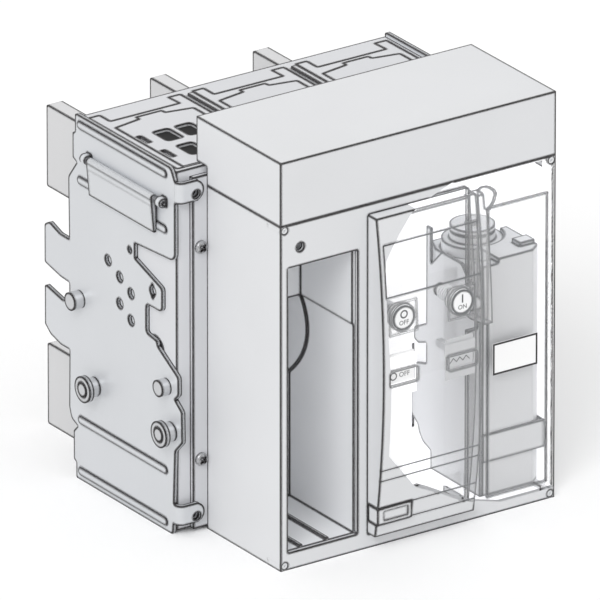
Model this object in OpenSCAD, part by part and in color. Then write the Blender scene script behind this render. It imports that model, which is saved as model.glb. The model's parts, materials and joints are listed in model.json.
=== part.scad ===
// Drawout low-voltage circuit breaker, the withdrawable unit without its cradle.
// Millimetres. Every module is drawn in the design frame, whose origin is the lower left
// corner of the front cover's face: X to the right, Y to the rear, Z up. placed() then moves
// the whole to its reference point, the middle of the footprint.

/* [Front cover] */
// Width of the front cover
cover_w = 185.6; // [178:0.1:188]
// Height of the front cover
cover_h = 208.4; // [206:0.1:212]
// Depth of the front cover, face to the mounting frame
cover_d = 73; // [72:0.5:80]
// Wall of the cover
cover_wall = 3; // [2.5:0.1:3.5]
// Height of the terminal hood on top of the cover
hood_h = 38.3; // [30:0.1:50]
// Depth of the terminal hood
hood_d = 83; // [80:0.5:95]
// Wall of the hood
hood_wall = 2.5; // [2:0.1:4]
// Distance of the corner screws from the cover's edges
corner_inset = 2.85; // [2.6:0.05:3.4]
// Radius of the corner screw heads
corner_screw_r = 1.85; // [1.5:0.05:2.2]
// Left edge of the sealing lead hole's centre
seal_hole_x = 13.3; // [10:0.1:20]
// Height of the sealing lead hole
seal_hole_z = 193.6; // [190:0.1:198]
// Radius of the sealing lead hole
seal_hole_r = 2.6; // [2:0.1:3]

/* [Control unit bay] */
// Left edge of the bay
bay_x0 = 4.9; // [4.9:0.1:6]
// Right edge of the bay
bay_x1 = 51.8; // [48:0.1:52]
// Lower edge of the bay
bay_z0 = 10.3; // [10:0.1:14]
// Upper edge of the bay
bay_z1 = 182.5; // [176:0.1:184]
// Depth of the upper compartment
bay_upper_d = 53.7; // [46:0.1:56]
// Depth of the lower compartment
bay_lower_d = 66; // [60:0.1:68]
// Height of the ledge between the two compartments
bay_ledge_z = 137; // [130:0.5:145]
// Wall of the bay liner
bay_wall = 1.8; // [1.2:0.1:1.8]
// Thickness of the floor ribs
bay_rib_w = 1.8; // [1:0.1:3]
// Height of the floor ribs
bay_rib_h = 1.6; // [1:0.1:3]

/* [Fascia] */
// Left edge of the fascia
fascia_x0 = 59.1; // [59:0.1:61]
// Right edge of the fascia
fascia_x1 = 126.2; // [124:0.1:126.4]
// Lower edge of the fascia
fascia_z0 = 8.8; // [8:0.1:10]
// Upper edge of the fascia
fascia_z1 = 201.8; // [199:0.1:202]
// How far the fascia stands out at the middle of its bulge
fascia_bulge = 15; // [14.6:0.1:17]
// Radius of the bulge
fascia_r = 586; // [560:1:650]
// Height of the middle of the bulge
fascia_mid_z = 108; // [105:0.5:111]
// Wall of the fascia
fascia_wall = 2.5; // [2.2:0.1:2.8]
// Depth of the seam grooves
seam_d = 0.5; // [0.3:0.1:0.8]
// Width of the seam grooves
seam_w = 0.6; // [0.4:0.1:1]

/* [Buttons and flags] */
// Radius of a push button
button_r = 7.2; // [6:0.05:7.3]
// Side of the square frame around a button
button_frame = 19; // [18:0.1:19.6]
// Centre of the opening button from the cover's left edge
off_x = 72.8; // [72.2:0.1:76]
// Centre of the closing button from the cover's left edge
on_x = 112.3; // [108:0.1:113]
// Height of both buttons
button_z = 141.8; // [138:0.1:143]
// Travel of a button
button_travel = 4; // [2:0.5:5]
// Width of an indicator window
flag_w = 18.7; // [16:0.1:19]
// Height of an indicator window
flag_h = 8.3; // [7:0.1:9]
// Height of the middle of the indicator windows
flag_z = 106; // [100:0.5:110]
// Centre of the contact position window
pos_flag_x = 73.2; // [72.5:0.1:75]
// Centre of the spring window
spr_flag_x = 113; // [110:0.1:113.5]
// Travel of a flag
flag_travel = 9; // [8:0.1:10]

/* [Charging lever] */
// Width of the lever
lever_w = 5.9; // [5:0.1:6]
// Height of the lever's pivot
lever_z = 132.4; // [131:0.1:134]
// How far the pivot lies in front of the cover
lever_out = 2; // [1:0.5:3]
// Radius of the lever's hub
lever_hub_r = 9; // [7:0.5:9]
// Radius of the pivot pin
lever_pin_r = 3; // [2:0.1:4]
// Height of the lever's upper end
lever_top_z = 200.5; // [196:0.1:201]

/* [Side plates] */
// Width over both side plates
plates_w = 212.4; // [210:0.1:213]
// Middle of the side plates from the cover's left edge
plate_mid_x = 85.6; // [85:0.1:86]
// Thickness of the sheet
sheet_t = 2.5; // [2:0.1:3]
// Height of the plates
plate_h = 222; // [222:0.5:226]
// Radius of the holes in the plates
plate_hole_r = 2.9; // [2:0.1:3.5]
// Height of the embossed beads
bead_h = 0.8; // [0.5:0.1:1.2]
// Width of the embossed beads
bead_w = 4.4; // [3:0.1:5]
// Radius of the holes in the front lugs
lug_hole_r = 2.5; // [2:0.1:3]
// Thickness of the mounting frame behind the cover
frame_t = 3.4; // [3:0.1:4]

/* [Studs and rollers] */
// Radius of the rear guide stud
stud_r = 5.35; // [4:0.05:6]
// Length of the rear guide stud
stud_l = 7.1; // [5:0.1:9]
// Radius of the front guide stud
front_stud_r = 5; // [4:0.05:6]
// Length of the front guide stud
front_stud_l = 6.2; // [5:0.1:9]
// Radius of a roller's tread
roller_r = 5.75; // [5.4:0.05:6.5]
// Radius of a roller's flange
roller_flange_r = 7.8; // [7:0.1:9]
// Thickness of a roller's flange
roller_flange_t = 3; // [2:0.1:4]
// How far a roller reaches out of its plate
roller_reach = 8.9; // [8:0.1:11]
// Radius of the roller pins
roller_pin_r = 4.2; // [3:0.1:4.6]

/* [Carrying handles] */
// Length of a handle flap
grip_l = 65; // [58:0.5:66]
// Height of a handle flap below its hinge
grip_h = 20.6; // [16:0.1:21]
// Radius of the hinge pin
grip_pin_r = 1.4; // [1:0.1:1.5]
// Radius of the hinge barrel
grip_barrel_r = 2.2; // [2.1:0.1:2.3]
// Sheet of the flap
grip_t = 1.4; // [1:0.1:1.6]

/* [Poles] */
// Distance between poles
pole_pitch = 70; // [69:0.1:70]
// Height of the pole case's top
case_top = 219.5; // [219:0.1:221]
// Depth of the pole case
case_d = 97; // [96.5:0.1:99]
// Wall of the case's floor
case_floor = 6; // [4:0.5:8]
// Width of a pole's chamber
chamber_w = 62; // [60:0.1:63]
// Thickness of the case's rear wall
case_rear = 16; // [14:0.5:16]
// Thickness of the case's front wall
case_front = 7.6; // [7:0.1:8]
// Thickness of the connection blades
blade_t = 10; // [6:0.5:12]
// Height of the connection blades
blade_h = 49.8; // [45:0.1:50]
// How far the blades stand out behind the case
blade_reach = 73.1; // [50:0.1:90]
// Lower edge of the upper blades
blade_upper_z = 145.6; // [144:0.1:147]
// Sideways shift of the blades from the pole's middle
blade_shift = -2; // [-3:0.5:1]

/* [Contacts] */
// Angle between open and closed contacts
contact_open = 12; // [8:0.5:12]
// Radius of the pole shaft
pole_shaft_r = 8; // [6:0.5:8]
// Radius of the contact pivot pins
pivot_r = 4; // [3:0.5:5]
// Radius of the pins that drive the contact arms
drive_pin_r = 3; // [2:0.5:3.5]
// Half width of a contact arm
arm_half = 9; // [7:0.5:9]

/* [Gear motor] */
// Radius of the motor's can
can_r = 17.5; // [15:0.5:18]
// Radius of the coupling disc
disc_r = 12.9; // [10:0.1:14]
// Across the corners of the hexagon on the disc
hex_r = 3.95; // [3:0.05:5]
// Thickness of the motor's side plate
motor_plate_t = 1.5; // [1:0.1:1.5]

/* [Hidden] */

$fn = 48;
eps = 0.01;
gap = 0.3;
run = 0.05;

// Reference point
front_reach = 19.5;
case_y = cover_d + frame_t;
case_y1 = case_y + case_d;
blade_y1 = case_y1 + blade_reach;
mid_y = (blade_y1 - front_reach) / 2;

// Side plates
plate_x0 = plate_mid_x - plates_w / 2;
plate_xi = plate_x0 + sheet_t;
case_x0 = plate_xi;
case_w = plates_w - 2 * sheet_t;

module placed() {
    translate([-plate_mid_x, -mid_y, 0]) children();
}

module mirrored() {
    translate([2 * plate_mid_x, 0, 0]) mirror([1, 0, 0]) children();
}

// Box from its lower corner to its upper corner
module block(a, b) {
    translate(a) cube(b - a);
}

// A round bar along X, along Y, and along Z
module rod_x(x, y, z, r, l) {
    translate([x, y, z]) rotate([0, 90, 0]) cylinder(r = r, h = l);
}

module rod_y(x, y, z, r, l) {
    translate([x, y, z]) rotate([-90, 0, 0]) cylinder(r = r, h = l);
}

module rod_z(x, y, z, r, l) {
    translate([x, y, z]) cylinder(r = r, h = l);
}

// An outline in Y and Z, extruded along X
module slab_x(x, w, pts) {
    translate([x, 0, 0]) rotate([90, 0, 90]) linear_extrude(w) polygon(pts);
}

// An outline in X and Z, extruded along Y
module slab_y(y, d, pts) {
    translate([0, y + d, 0]) rotate([90, 0, 0]) linear_extrude(d) polygon(pts);
}

// An outline in X and Y, extruded along Z
module slab_z(z, h, pts) {
    translate([0, 0, z]) linear_extrude(h) polygon(pts);
}

// The arc that rounds the corner q between p and s with radius r
function corner(p, q, s, r, n = 5) =
    r <= 0 ? [q] : let(
        a = (p - q) / norm(p - q),
        b = (s - q) / norm(s - q),
        half = acos(max(-1, min(1, a * b))) / 2,
        c = q + (a + b) / norm(a + b) * r / sin(half),
        t = r / tan(half),
        u = q + a * t - c,
        v = q + b * t - c,
        a0 = atan2(u[1], u[0]),
        turn = atan2(u[0] * v[1] - u[1] * v[0], u * v)
    ) [for (i = [0:n]) c + r * [cos(a0 + turn * i / n), sin(a0 + turn * i / n)]];

// An outline whose points each carry their own corner radius
function rounded(pts) = let(n = len(pts)) [
    for (i = [0:n - 1])
        for (q = corner(
            [pts[(i + n - 1) % n][0], pts[(i + n - 1) % n][1]],
            [pts[i][0], pts[i][1]],
            [pts[(i + 1) % n][0], pts[(i + 1) % n][1]],
            pts[i][2])) q
];

// A rectangle with round corners
function round_rect(x0, y0, x1, y1, r) =
    rounded([[x0, y0, r], [x1, y0, r], [x1, y1, r], [x0, y1, r]]);

// A wire of radius w wound n turns at radius r over the height h, about Z
module coil(r, w, h, n) {
    seg = 12;
    side = 6;
    steps = n * seg;
    pts = [
        for (i = [0:steps])
            let(t = 360 * i / seg, z = w + (h - 2 * w) * i / steps)
                for (k = [0:side - 1])
                    let(q = 360 * k / side)
                        [(r + w * cos(q)) * cos(t), (r + w * cos(q)) * sin(t), z + w * sin(q)]
    ];
    walls = [
        for (i = [0:steps - 1])
            for (k = [0:side - 1])
                let(a = i * side + k, b = i * side + (k + 1) % side)
                    [a, a + side, b + side, b]
    ];
    polyhedron(pts, concat(
        [[for (k = [0:side - 1]) k]],
        walls,
        [[for (k = [side - 1:-1:0]) steps * side + k]]
    ), convexity = 6);
}

// Front cover and what is let into it

// Outline of the clear part of the front wall, on the cover's face
window_outline = [
    [116, cover_h], [100, fascia_z1 + 0.6], [100, 100], [122, 13.6], [148.7, 6.2],
    [cover_w, 6.2], [cover_w, cover_h]
];
// Outline of the clear part of the fascia
clear_outline = [
    [86, 230], [86, fascia_z1], [82.9, 200.2], [73.2, 189.9], [63.6, 176], [62.2, 166],
    [62.2, 140], [64.5, 99.7], [64.2, 59.3], [83.9, 34.9], [101.2, 26.4], [115.4, 18.3],
    [126.3, 14], [150, 14], [150, 230]
];
lever_x0 = fascia_x1 + gap;
lever_x1 = lever_x0 + lever_w;
nose_t = 1.8;
// Room that the lever's heel needs when it swings
heel_swing = 17;
boss_w = 7;
boss_d = 14;
lug_z = [12.8, 208.15];
lug_h = [11.8, 12.7];
motor_frame_x = [142.3, 181.5];
motor_frame_z = [10.2, 184.8];

module fascia_hole() {
    block([fascia_x0 - gap, -1, fascia_z0 - gap], [fascia_x1 + gap / 2, cover_wall + 1, fascia_z1 + gap]);
    block([fascia_x1, -1, lever_z - heel_swing],
          [lever_x1 + gap, cover_wall + 1, lever_z + lever_hub_r + 1]);
}

module corner_points() {
    for (x = [corner_inset, cover_w - corner_inset], z = [corner_inset, cover_h - corner_inset])
        translate([x, 0, z]) children();
}

// The right plate's lugs pass through the rear rim of the cover and the hood
module lug_slots() {
    for (i = [0, 1])
        block([2 * plate_mid_x - lug_tip - gap, cover_d - sheet_t - gap, lug_z[i] - lug_h[i] / 2 - gap],
              [cover_w + 1, cover_d + 1, lug_z[i] + lug_h[i] / 2 + gap]);
}

module front_wall() {
    difference() {
        block([0, 0, 0], [cover_w, cover_wall, cover_h]);
        fascia_hole();
        block([bay_x0, -1, bay_z0], [bay_x1, cover_wall + 1, bay_z1]);
        corner_points() rod_y(0, -1, 0, corner_screw_r + run, cover_wall + 2);
        rod_y(seal_hole_x, -1, seal_hole_z, seal_hole_r, cover_wall + 2);
    }
}

module front_cover() color("gainsboro") placed() {
    difference() {
        union() {
            difference() {
                front_wall();
                slab_y(-1, cover_wall + 2, window_outline);
            }
            difference() {
                block([0, cover_wall, 0], [cover_w, cover_d, cover_h]);
                block([cover_wall, 0, cover_wall],
                      [cover_w - cover_wall, cover_d + 1, cover_h - cover_wall]);
            }
            for (x = [0, cover_w - boss_w], z = [0, cover_h - boss_w])
                block([x, cover_wall, z], [x + boss_w, cover_wall + boss_d, z + boss_w]);
        }
        corner_points() rod_y(0, -1, 0, corner_screw_r + run, boss_d);
        lug_slots();
    }
}

module cover_window() color("white", 0.5) placed() {
    difference() {
        union() {
            intersection() {
                front_wall();
                slab_y(-1, cover_wall + 2, window_outline);
            }
            difference() {
                block([motor_frame_x[0] - 0.8, cover_wall, motor_frame_z[0] - 0.8],
                      [motor_frame_x[1] + 0.8, cover_wall + 0.9, motor_frame_z[1] + 0.8]);
                block([motor_frame_x[0], cover_wall - 1, motor_frame_z[0]],
                      [motor_frame_x[1], cover_wall + 2, motor_frame_z[1]]);
            }
        }
    }
}

module rating_plate() color("white") placed()
    slab_y(-0.4, 0.4, round_rect(143.1, 84.5, 173.4, 103.6, 0.6));

module cover_screws() color("silver") placed() corner_points() {
    difference() {
        rod_y(0, 0.2, 0, corner_screw_r, 11.5);
        block([-1.4, 0, -0.25], [1.4, 0.8, 0.25]);
    }
}

module terminal_hood() color("gainsboro") placed() {
    top = cover_h + hood_h;
    step_z = case_top + gap;
    difference() {
        block([0, 0, cover_h], [cover_w, hood_d, top]);
        block([hood_wall, hood_wall, cover_h - 1],
              [cover_w - hood_wall, cover_d - hood_wall, top - hood_wall]);
        block([hood_wall, hood_wall, step_z + hood_wall],
              [cover_w - hood_wall, hood_d - hood_wall, top - hood_wall]);
        block([-1, cover_d, cover_h - 1], [cover_w + 1, hood_d + 1, step_z]);
        lug_slots();
    }
}

module aux_terminals() color("dimgray") placed() {
    for (i = [0:3]) translate([10 + 43 * i, 14, cover_h]) difference() {
        cube([36, 40, 22]);
        for (k = [0:4]) {
            block([2 + 6.8 * k, 4, 12], [6.8 + 6.8 * k, 16, 23]);
            rod_z(4.4 + 6.8 * k, 26, 14, 2, 9);
        }
    }
}

module bay_liner() color("lightgray") placed() {
    inner_x1 = bay_x1 - bay_wall;
    web_y = [bay_upper_d, 44.7];
    difference() {
        block([bay_x0 - bay_wall, cover_wall, bay_z0 - bay_wall],
              [bay_x1 + bay_wall, bay_lower_d + bay_wall, bay_z1 + bay_wall]);
        block([bay_x0, 0, bay_ledge_z - eps], [inner_x1, bay_upper_d, bay_z1]);
        block([bay_x0, 0, bay_z0], [inner_x1 + 0.9, bay_lower_d, bay_ledge_z]);
    }
    for (x = [15.7, 33.4])
        block([x - bay_rib_w / 2, cover_wall, bay_z0],
              [x + bay_rib_w / 2, bay_lower_d, bay_z0 + bay_rib_h]);
    slab_x(inner_x1 - 0.6, 1.5, concat(
        [for (i = [0:10]) let(t = i / 10)
            [(1 - t) * (1 - t) * web_y[0] + 2 * t * (1 - t) * 36 + t * t * bay_lower_d,
             bay_ledge_z - t * 51]],
        [[bay_lower_d, bay_ledge_z]]));
}

// Fascia
module bulge(r) {
    translate([fascia_x0 - 5, fascia_r - fascia_bulge, fascia_mid_z])
        rotate([0, 90, 0]) cylinder(r = r, h = fascia_x1 - fascia_x0 + 10, $fn = 360);
}

fascia_y1 = 20;
seam_z = [50.8, 44.3, 26.8, 16.9];
panel_z = [154.9, 186];
tab_z = [16.9, 26.8];
tab_x1 = 82;
// Two cross walls inside the fascia, which guide the buttons and flags and the padlock tab
carrier_y = 5;
carrier_t = 2;
carrier_z = [94, 153];
tab_guide_y = 0.6;

// How deep the fascia's face lies at the height z
function bulge_y(z) =
    fascia_r - fascia_bulge - sqrt(fascia_r * fascia_r - (z - fascia_mid_z) * (z - fascia_mid_z));

module fascia_skin(d) {
    difference() {
        bulge(fascia_r + 1);
        bulge(fascia_r - d);
    }
}

module flag_hole(x, w, h) {
    block([x - w / 2, -30, flag_z - h / 2], [x + w / 2, 0, flag_z + h / 2]);
}

module fascia_body() {
    difference() {
        intersection() {
            block([fascia_x0, -fascia_bulge - 1, fascia_z0], [fascia_x1, fascia_y1, fascia_z1]);
            bulge(fascia_r);
        }
        intersection() {
            block([fascia_x0 + fascia_wall, -fascia_bulge, fascia_z0 + fascia_wall],
                  [fascia_x1 - fascia_wall, fascia_y1 + 1, fascia_z1 - fascia_wall]);
            bulge(fascia_r - fascia_wall);
        }
        intersection() {
            fascia_skin(seam_d);
            union() {
                for (z = seam_z)
                    block([fascia_x0 - 1, -30, z - seam_w / 2], [fascia_x1 + 1, 10, z + seam_w / 2]);
                block([fascia_x0 + 3, -30, panel_z[0]], [fascia_x1 + 1, 10, panel_z[1]]);
            }
        }
        for (x = [off_x, on_x]) rod_y(x, -30, button_z, button_r + gap, 40);
        flag_hole(pos_flag_x, flag_w, flag_h);
        flag_hole(spr_flag_x, flag_w, flag_h);
        block([fascia_x0 - 1, -30, tab_z[0] - gap], [tab_x1 + gap, 0, tab_z[1] + gap]);
        rod_x(fascia_x1 - 10, -lever_out, lever_z, lever_pin_r, 20);
    }
    for (x = [off_x, on_x]) button_rim(x);
    difference() {
        block([fascia_x0 + 1, carrier_y, carrier_z[0]],
              [fascia_x1 - 1, carrier_y + carrier_t, carrier_z[1]]);
        for (x = [off_x, on_x]) rod_y(x, carrier_y - 1, button_z, stem_r + run, carrier_t + 2);
        for (x = [pos_flag_x, spr_flag_x])
            block([x - 2 - gap, carrier_y - 1, flag_z + 1 - flag_travel - gap],
                  [x + 2 + gap, carrier_y + carrier_t + 1, flag_z + 5 + gap]);
    }
    difference() {
        block([fascia_x0 + 1, tab_guide_y, fascia_z0 + 1],
              [fascia_x1 - 1, tab_guide_y + carrier_t, shank_z[1] + 5]);
        block([shank_x[0] - gap, tab_guide_y - 1, shank_z[0] - gap],
              [shank_x[1] + gap, tab_guide_y + carrier_t + 1, shank_z[1] + gap]);
    }
}

// The raised square frame around a button
module button_rim(x) {
    h = button_frame / 2;
    difference() {
        intersection() {
            block([x - h, -30, button_z - h], [x + h, 0, button_z + h]);
            difference() {
                bulge(fascia_r + 0.6);
                bulge(fascia_r - 0.2);
            }
        }
        block([x - h + 0.8, -31, button_z - h + 0.8], [x + h - 0.8, 1, button_z + h - 0.8]);
    }
}

module fascia() color("gainsboro") placed() difference() {
    fascia_body();
    slab_y(-30, 60, clear_outline);
}

module fascia_window() color("white", 0.5) placed() intersection() {
    fascia_body();
    slab_y(-30, 60, clear_outline);
}

module indicator_lenses() color("white", 0.4) placed() {
    for (x = [pos_flag_x, spr_flag_x]) intersection() {
        flag_hole(x, flag_w, flag_h);
        difference() {
            bulge(fascia_r - 0.3);
            bulge(fascia_r - 1.5);
        }
    }
}

// Push buttons
cap_y = -14.9;
cap_d = 7;
stem_r = 3;
stem_y1 = carrier_y + carrier_t + button_travel / 2;
shroud_y = 41;
shroud_wall = 2;
spring_r = 4.3;

module button(x) {
    difference() {
        union() {
            rod_y(x, cap_y, button_z, button_r, cap_d);
            rod_y(x, cap_y + cap_d, button_z, stem_r, stem_y1 - cap_y - cap_d);
            rod_y(x, carrier_y + carrier_t + gap, button_z, stem_r + 1, 1);
        }
        button_groove(x);
    }
}

// The shallow ring groove in a button's face
module button_groove(x) {
    translate([x, cap_y - 0.001, button_z]) rotate([-90, 0, 0])
        difference() {
            cylinder(r = button_r - 0.5, h = 0.3);
            translate([0, 0, -1]) cylinder(r = button_r - 0.8, h = 3);
        }
}

module off_button() color("whitesmoke") placed() button(off_x);
module on_button() color("whitesmoke") placed() button(on_x);

module button_springs() color("silver") placed() {
    for (x = [off_x, on_x])
        translate([x, cap_y + cap_d + gap, button_z]) rotate([-90, 0, 0])
            coil(spring_r, 0.45, carrier_y - cap_y - cap_d - 2 * gap, 6);
}

// Flags behind the indicator windows
flag_y = bulge_y(flag_z) + fascia_wall + 1.2;
flag_t = 1;

module flag(x) {
    w = flag_w - 1;
    block([x - w / 2, flag_y, flag_z - flag_h / 2 - 0.6],
          [x + w / 2, flag_y + flag_t, flag_z + flag_h / 2 + flag_travel + 0.2]);
    block([x - 2, flag_y + flag_t, flag_z + 1], [x + 2, carrier_y + carrier_t + 2.5, flag_z + 5]);
}

module position_flag() color("white") placed() flag(pos_flag_x);
module spring_flag() color("white") placed() flag(spr_flag_x);

// Padlock tab
shank_x = [64, 80];
shank_z = [18.7, 25];

module padlock_tab() color("gainsboro") placed() {
    y0 = bulge_y(22) - 1;
    difference() {
        union() {
            block([fascia_x0 - 0.2, y0, tab_z[0]], [tab_x1, -0.4, tab_z[1]]);
            block([shank_x[0], -0.4 - eps, shank_z[0]],
                  [shank_x[1], tab_guide_y + carrier_t + 18, shank_z[1]]);
        }
        block([63.2, y0 - 1, 19], [79.5, y0 + 0.6, 24.8]);
        rod_z(74, 3.5, tab_z[0] - 1, 3, 20);
    }
}

// Charging lever: a blade along the fascia's right side with a nose for the fingers
module lever_profile() {
    heel_z = lever_z - lever_hub_r + 1.2;
    polygon(concat(
        [[-lever_out, lever_z - lever_hub_r], [-0.6, lever_z], [-0.6, lever_top_z]],
        [for (i = [8:-1:0]) let(z = heel_z + (lever_top_z - heel_z) * i / 8) [bulge_y(z) - 0.8, z]]
    ));
}

// The thin finger hold at the lever's upper end
module lever_nose() {
    polygon([
        [-0.7, lever_top_z - 0.5], [-5.2, lever_top_z + 3.4],
        [-9, lever_top_z + 5.1], [-13, lever_top_z + 5.9],
        [-17.2, lever_top_z + 5.8], [-front_reach, lever_top_z + 4.1], [-17.7, lever_top_z - 1.5],
        [-12.7, lever_top_z - 8.5], [-4, lever_top_z - 8.5]
    ]);
}

module charging_lever() color("whitesmoke") placed() {
    difference() {
        union() {
            translate([lever_x0, 0, 0]) rotate([90, 0, 90]) linear_extrude(lever_w) lever_profile();
            translate([lever_x1 - nose_t, 0, 0]) rotate([90, 0, 90]) linear_extrude(nose_t) lever_nose();
            rod_x(lever_x0, -lever_out, lever_z, lever_hub_r, lever_w);
        }
        rod_x(lever_x0 - 1, -lever_out, lever_z, lever_pin_r + run, lever_w + 2);
    }
}

module lever_pin() color("silver") placed() {
    rod_x(fascia_x1 - 8, -lever_out, lever_z, lever_pin_r, lever_x1 + 0.1 - fascia_x1 + 8);
    rod_x(fascia_x1 - fascia_wall - 3, -lever_out, lever_z, lever_pin_r + 2, 3);
}

// Mounting frame between the cover and the pole case
frame_x0 = -9.35;
frame_x1 = cover_w + 1.4;
screw_x = -4.25;
screw_head_r = 3.9;
screw_z = [43.7, 172.3];
motor_plate_x = cover_w - 47.3;
drive_x = plate_mid_x + 16;
drive_rod_r = 2.5;
crank_r = 14;

module mounting_frame() color("lightgray") placed() difference() {
    block([frame_x0, cover_d, 2], [frame_x1, case_y, cover_h + 6.6]);
    block([72, cover_d - 1, 60], [116, case_y + 1, 160]);
    block([motor_plate_x - 0.6, cover_d - 1, 28], [motor_plate_x + motor_plate_t + 0.6, case_y + 1, 80]);
    for (z = screw_z) rod_y(screw_x, cover_d - 1, z, 2.5, frame_t + 2);
    for (z = lug_z) rod_y(-8.5, cover_d - 1, z - 2.4, lug_hole_r, frame_t + 2);
}

module frame_screws() color("silver") placed() for (z = screw_z) {
    difference() {
        union() {
            translate([screw_x, cover_d, z]) rotate([90, 0, 0]) rotate_extrude()
                polygon([[0, 0], [screw_head_r, 0], [screw_head_r, 1], [screw_head_r - 0.5, 2],
                         [screw_head_r - 1.7, 2.8], [1.2, 3.1], [0, 3.15]]);
            rod_y(screw_x, cover_d - eps, z, 2.45, frame_t + 6);
        }
        for (a = [45, 135]) translate([screw_x, cover_d - 2.2, z]) rotate([0, a, 0])
            cube([4.6, 2.4, 0.9], center = true);
    }
}

// White shroud over the spring mechanism
shroud_x = [57, 110.6];
shroud_z = [6, cover_h - 4.4];

module mechanism_shroud() color("white") placed() difference() {
    block([shroud_x[0], shroud_y, shroud_z[0]], [shroud_x[1], cover_d, shroud_z[1]]);
    block([shroud_x[0] + shroud_wall, shroud_y + shroud_wall, shroud_z[0] + shroud_wall],
          [shroud_x[1] - shroud_wall, cover_d + 1, shroud_z[1] - shroud_wall]);
}

// White tray round the motor: a back, a floor and a right wall
tray_t = 1.5;
tray_x1 = cover_w - cover_wall - gap;
tray_z0 = cover_wall + gap;
tray_z1 = cover_h - 7.4;

module motor_barrier() color("white") placed() {
    difference() {
        block([shroud_x[1] + gap, cover_d - tray_t, tray_z0], [tray_x1, cover_d, tray_z1]);
        block([motor_plate_x - 0.6, cover_d - 3, 28],
              [motor_plate_x + motor_plate_t + 0.6, cover_d + 1, 80]);
        block([2 * plate_mid_x - lug_tip - 1, cover_d - 3, 0], [tray_x1 + 1, cover_d + 1, 21]);
    }
    block([fascia_x1 + 4, 4, tray_z0], [cover_w - boss_w - gap, 26, tray_z0 + tray_t]);
    block([shroud_x[1] + gap, 26 - eps, tray_z0], [tray_x1, cover_d - 4, tray_z0 + tray_t]);
    block([shroud_x[1] + gap, cover_d - 4 - eps, tray_z0],
          [cover_w - 15.6, cover_d - tray_t + eps, tray_z0 + tray_t]);
    block([tray_x1 - tray_t, 4, motor_top + 5], [tray_x1, cover_d - tray_t + eps, tray_z1]);
}

// Side plates, drawn on their outer face

// Outline of the left plate, seen from its outer side: depth, height and corner radius
plate_outline = [
    [76.9, 0, 2], [173.9, 0, 1], [173.9, 9.4, 1], [176.4, 10.6, 1], [176.4, 27.9, 1], [172.4, 31.9, 0],
    [178.6, 34.6, 4], [180.9, 41, 3], [180.3, 75.8, 0], [189, 75.8, 2], [199.3, 78.5, 4], [205.1, 83.1, 1],
    [205.1, 107.4, 1.5], [186.6, 103.6, 2], [180.3, 108.5, 3], [180.3, 116.7, 0.5], [189, 117.2, 2],
    [205.1, 120.7, 1.5], [205.1, 144, 2.5], [200.5, 146.8, 3], [190, 143.3, 4], [180.3, 143.2, 0],
    [180.9, 181.5, 5], [172.4, 192.6, 0], [176.4, 194.4, 1], [176.4, 209.4, 1], [173.9, 210.9, 1],
    [173.9, plate_h, 1.5], [78.5, plate_h, 4], [74.3, 214.5, 2], [74.3, 166.5, 5],
    [114.6, 163.8, 0], [114.6, 154.6, 0], [87.2, 145.6, 3], [87.2, 131.2, 3], [103.2, 131.2, 2.5],
    [103.2, 113.7, 2], [93, 112.3, 1], [91.8, 109.1, 0], [71.2, 97.2, 3], [71.2, 86.4, 2],
    [74.9, 82.7, 0], [67.8, 77.5, 2], [67.4, 58.8, 2.5], [74.6, 51.3, 2]
];
plate_holes = [[141.2, 144.1], [129.5, 138], [118.2, 131.9], [129.5, 121.9], [118.2, 115.6]];
bead_z = [216.5, 183, 37, 5.6];
bead_y = [82, 171];
stud_yz = [169.4, 110.6];
front_stud_yz = [82.7, 88.3];
roller_y = [77.9, 154.3];
roller_z = 62.7;
grip_y0 = 91;
grip_z = 199.6;
grip_out = grip_barrel_r + gap;
ear_l = 5;
bend_r = 4.2;
lug_reach = 13;
lug_tip = plate_x0 + bend_r + lug_reach;

module stadium(y0, y1, z, h, x0, x1) {
    block([x0, y0 + h / 2, z - h / 2], [x1, y1 - h / 2, z + h / 2]);
    for (y = [y0 + h / 2, y1 - h / 2]) rod_x(x0, y, z, h / 2, x1 - x0);
}

// A front lug: bent inward, with a round end and a hole
module lug(z, h) {
    y0 = cover_d - sheet_t;
    difference() {
        union() {
            block([plate_x0 + bend_r, y0, z - h / 2], [lug_tip - 4, cover_d, z + h / 2]);
            intersection() {
                rod_y(lug_tip - h / 2, y0, z, h / 2, sheet_t);
                block([lug_tip - h, y0 - 1, z - h / 2], [lug_tip + 1, cover_d + 1, z + h / 2]);
            }
            intersection() {
                block([plate_x0, y0, z - h / 2], [plate_x0 + bend_r, y0 + bend_r, z + h / 2]);
                difference() {
                    rod_z(plate_x0 + bend_r, y0 + bend_r, z - h / 2, bend_r, h);
                    rod_z(plate_x0 + bend_r, y0 + bend_r, z - h, bend_r - sheet_t, 2 * h);
                }
            }
            block([plate_x0, y0 + bend_r, z - h / 2], [plate_xi, 78, z + h / 2]);
        }
        rod_y(-8.5, y0 - 1, z - 2.4, lug_hole_r, sheet_t + 2);
    }
}

// An ear that holds the handle's hinge pin
module hinge_ear(y) {
    x = plate_x0 - grip_out;
    difference() {
        union() {
            rod_y(x, y, grip_z, grip_barrel_r + 0.5, ear_l);
            block([x, y, grip_z - grip_barrel_r - 0.5],
                  [plate_x0 + eps, y + ear_l, grip_z + grip_barrel_r + 0.5]);
        }
        rod_y(x, y - 1, grip_z, grip_pin_r, ear_l + 2);
    }
}

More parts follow.
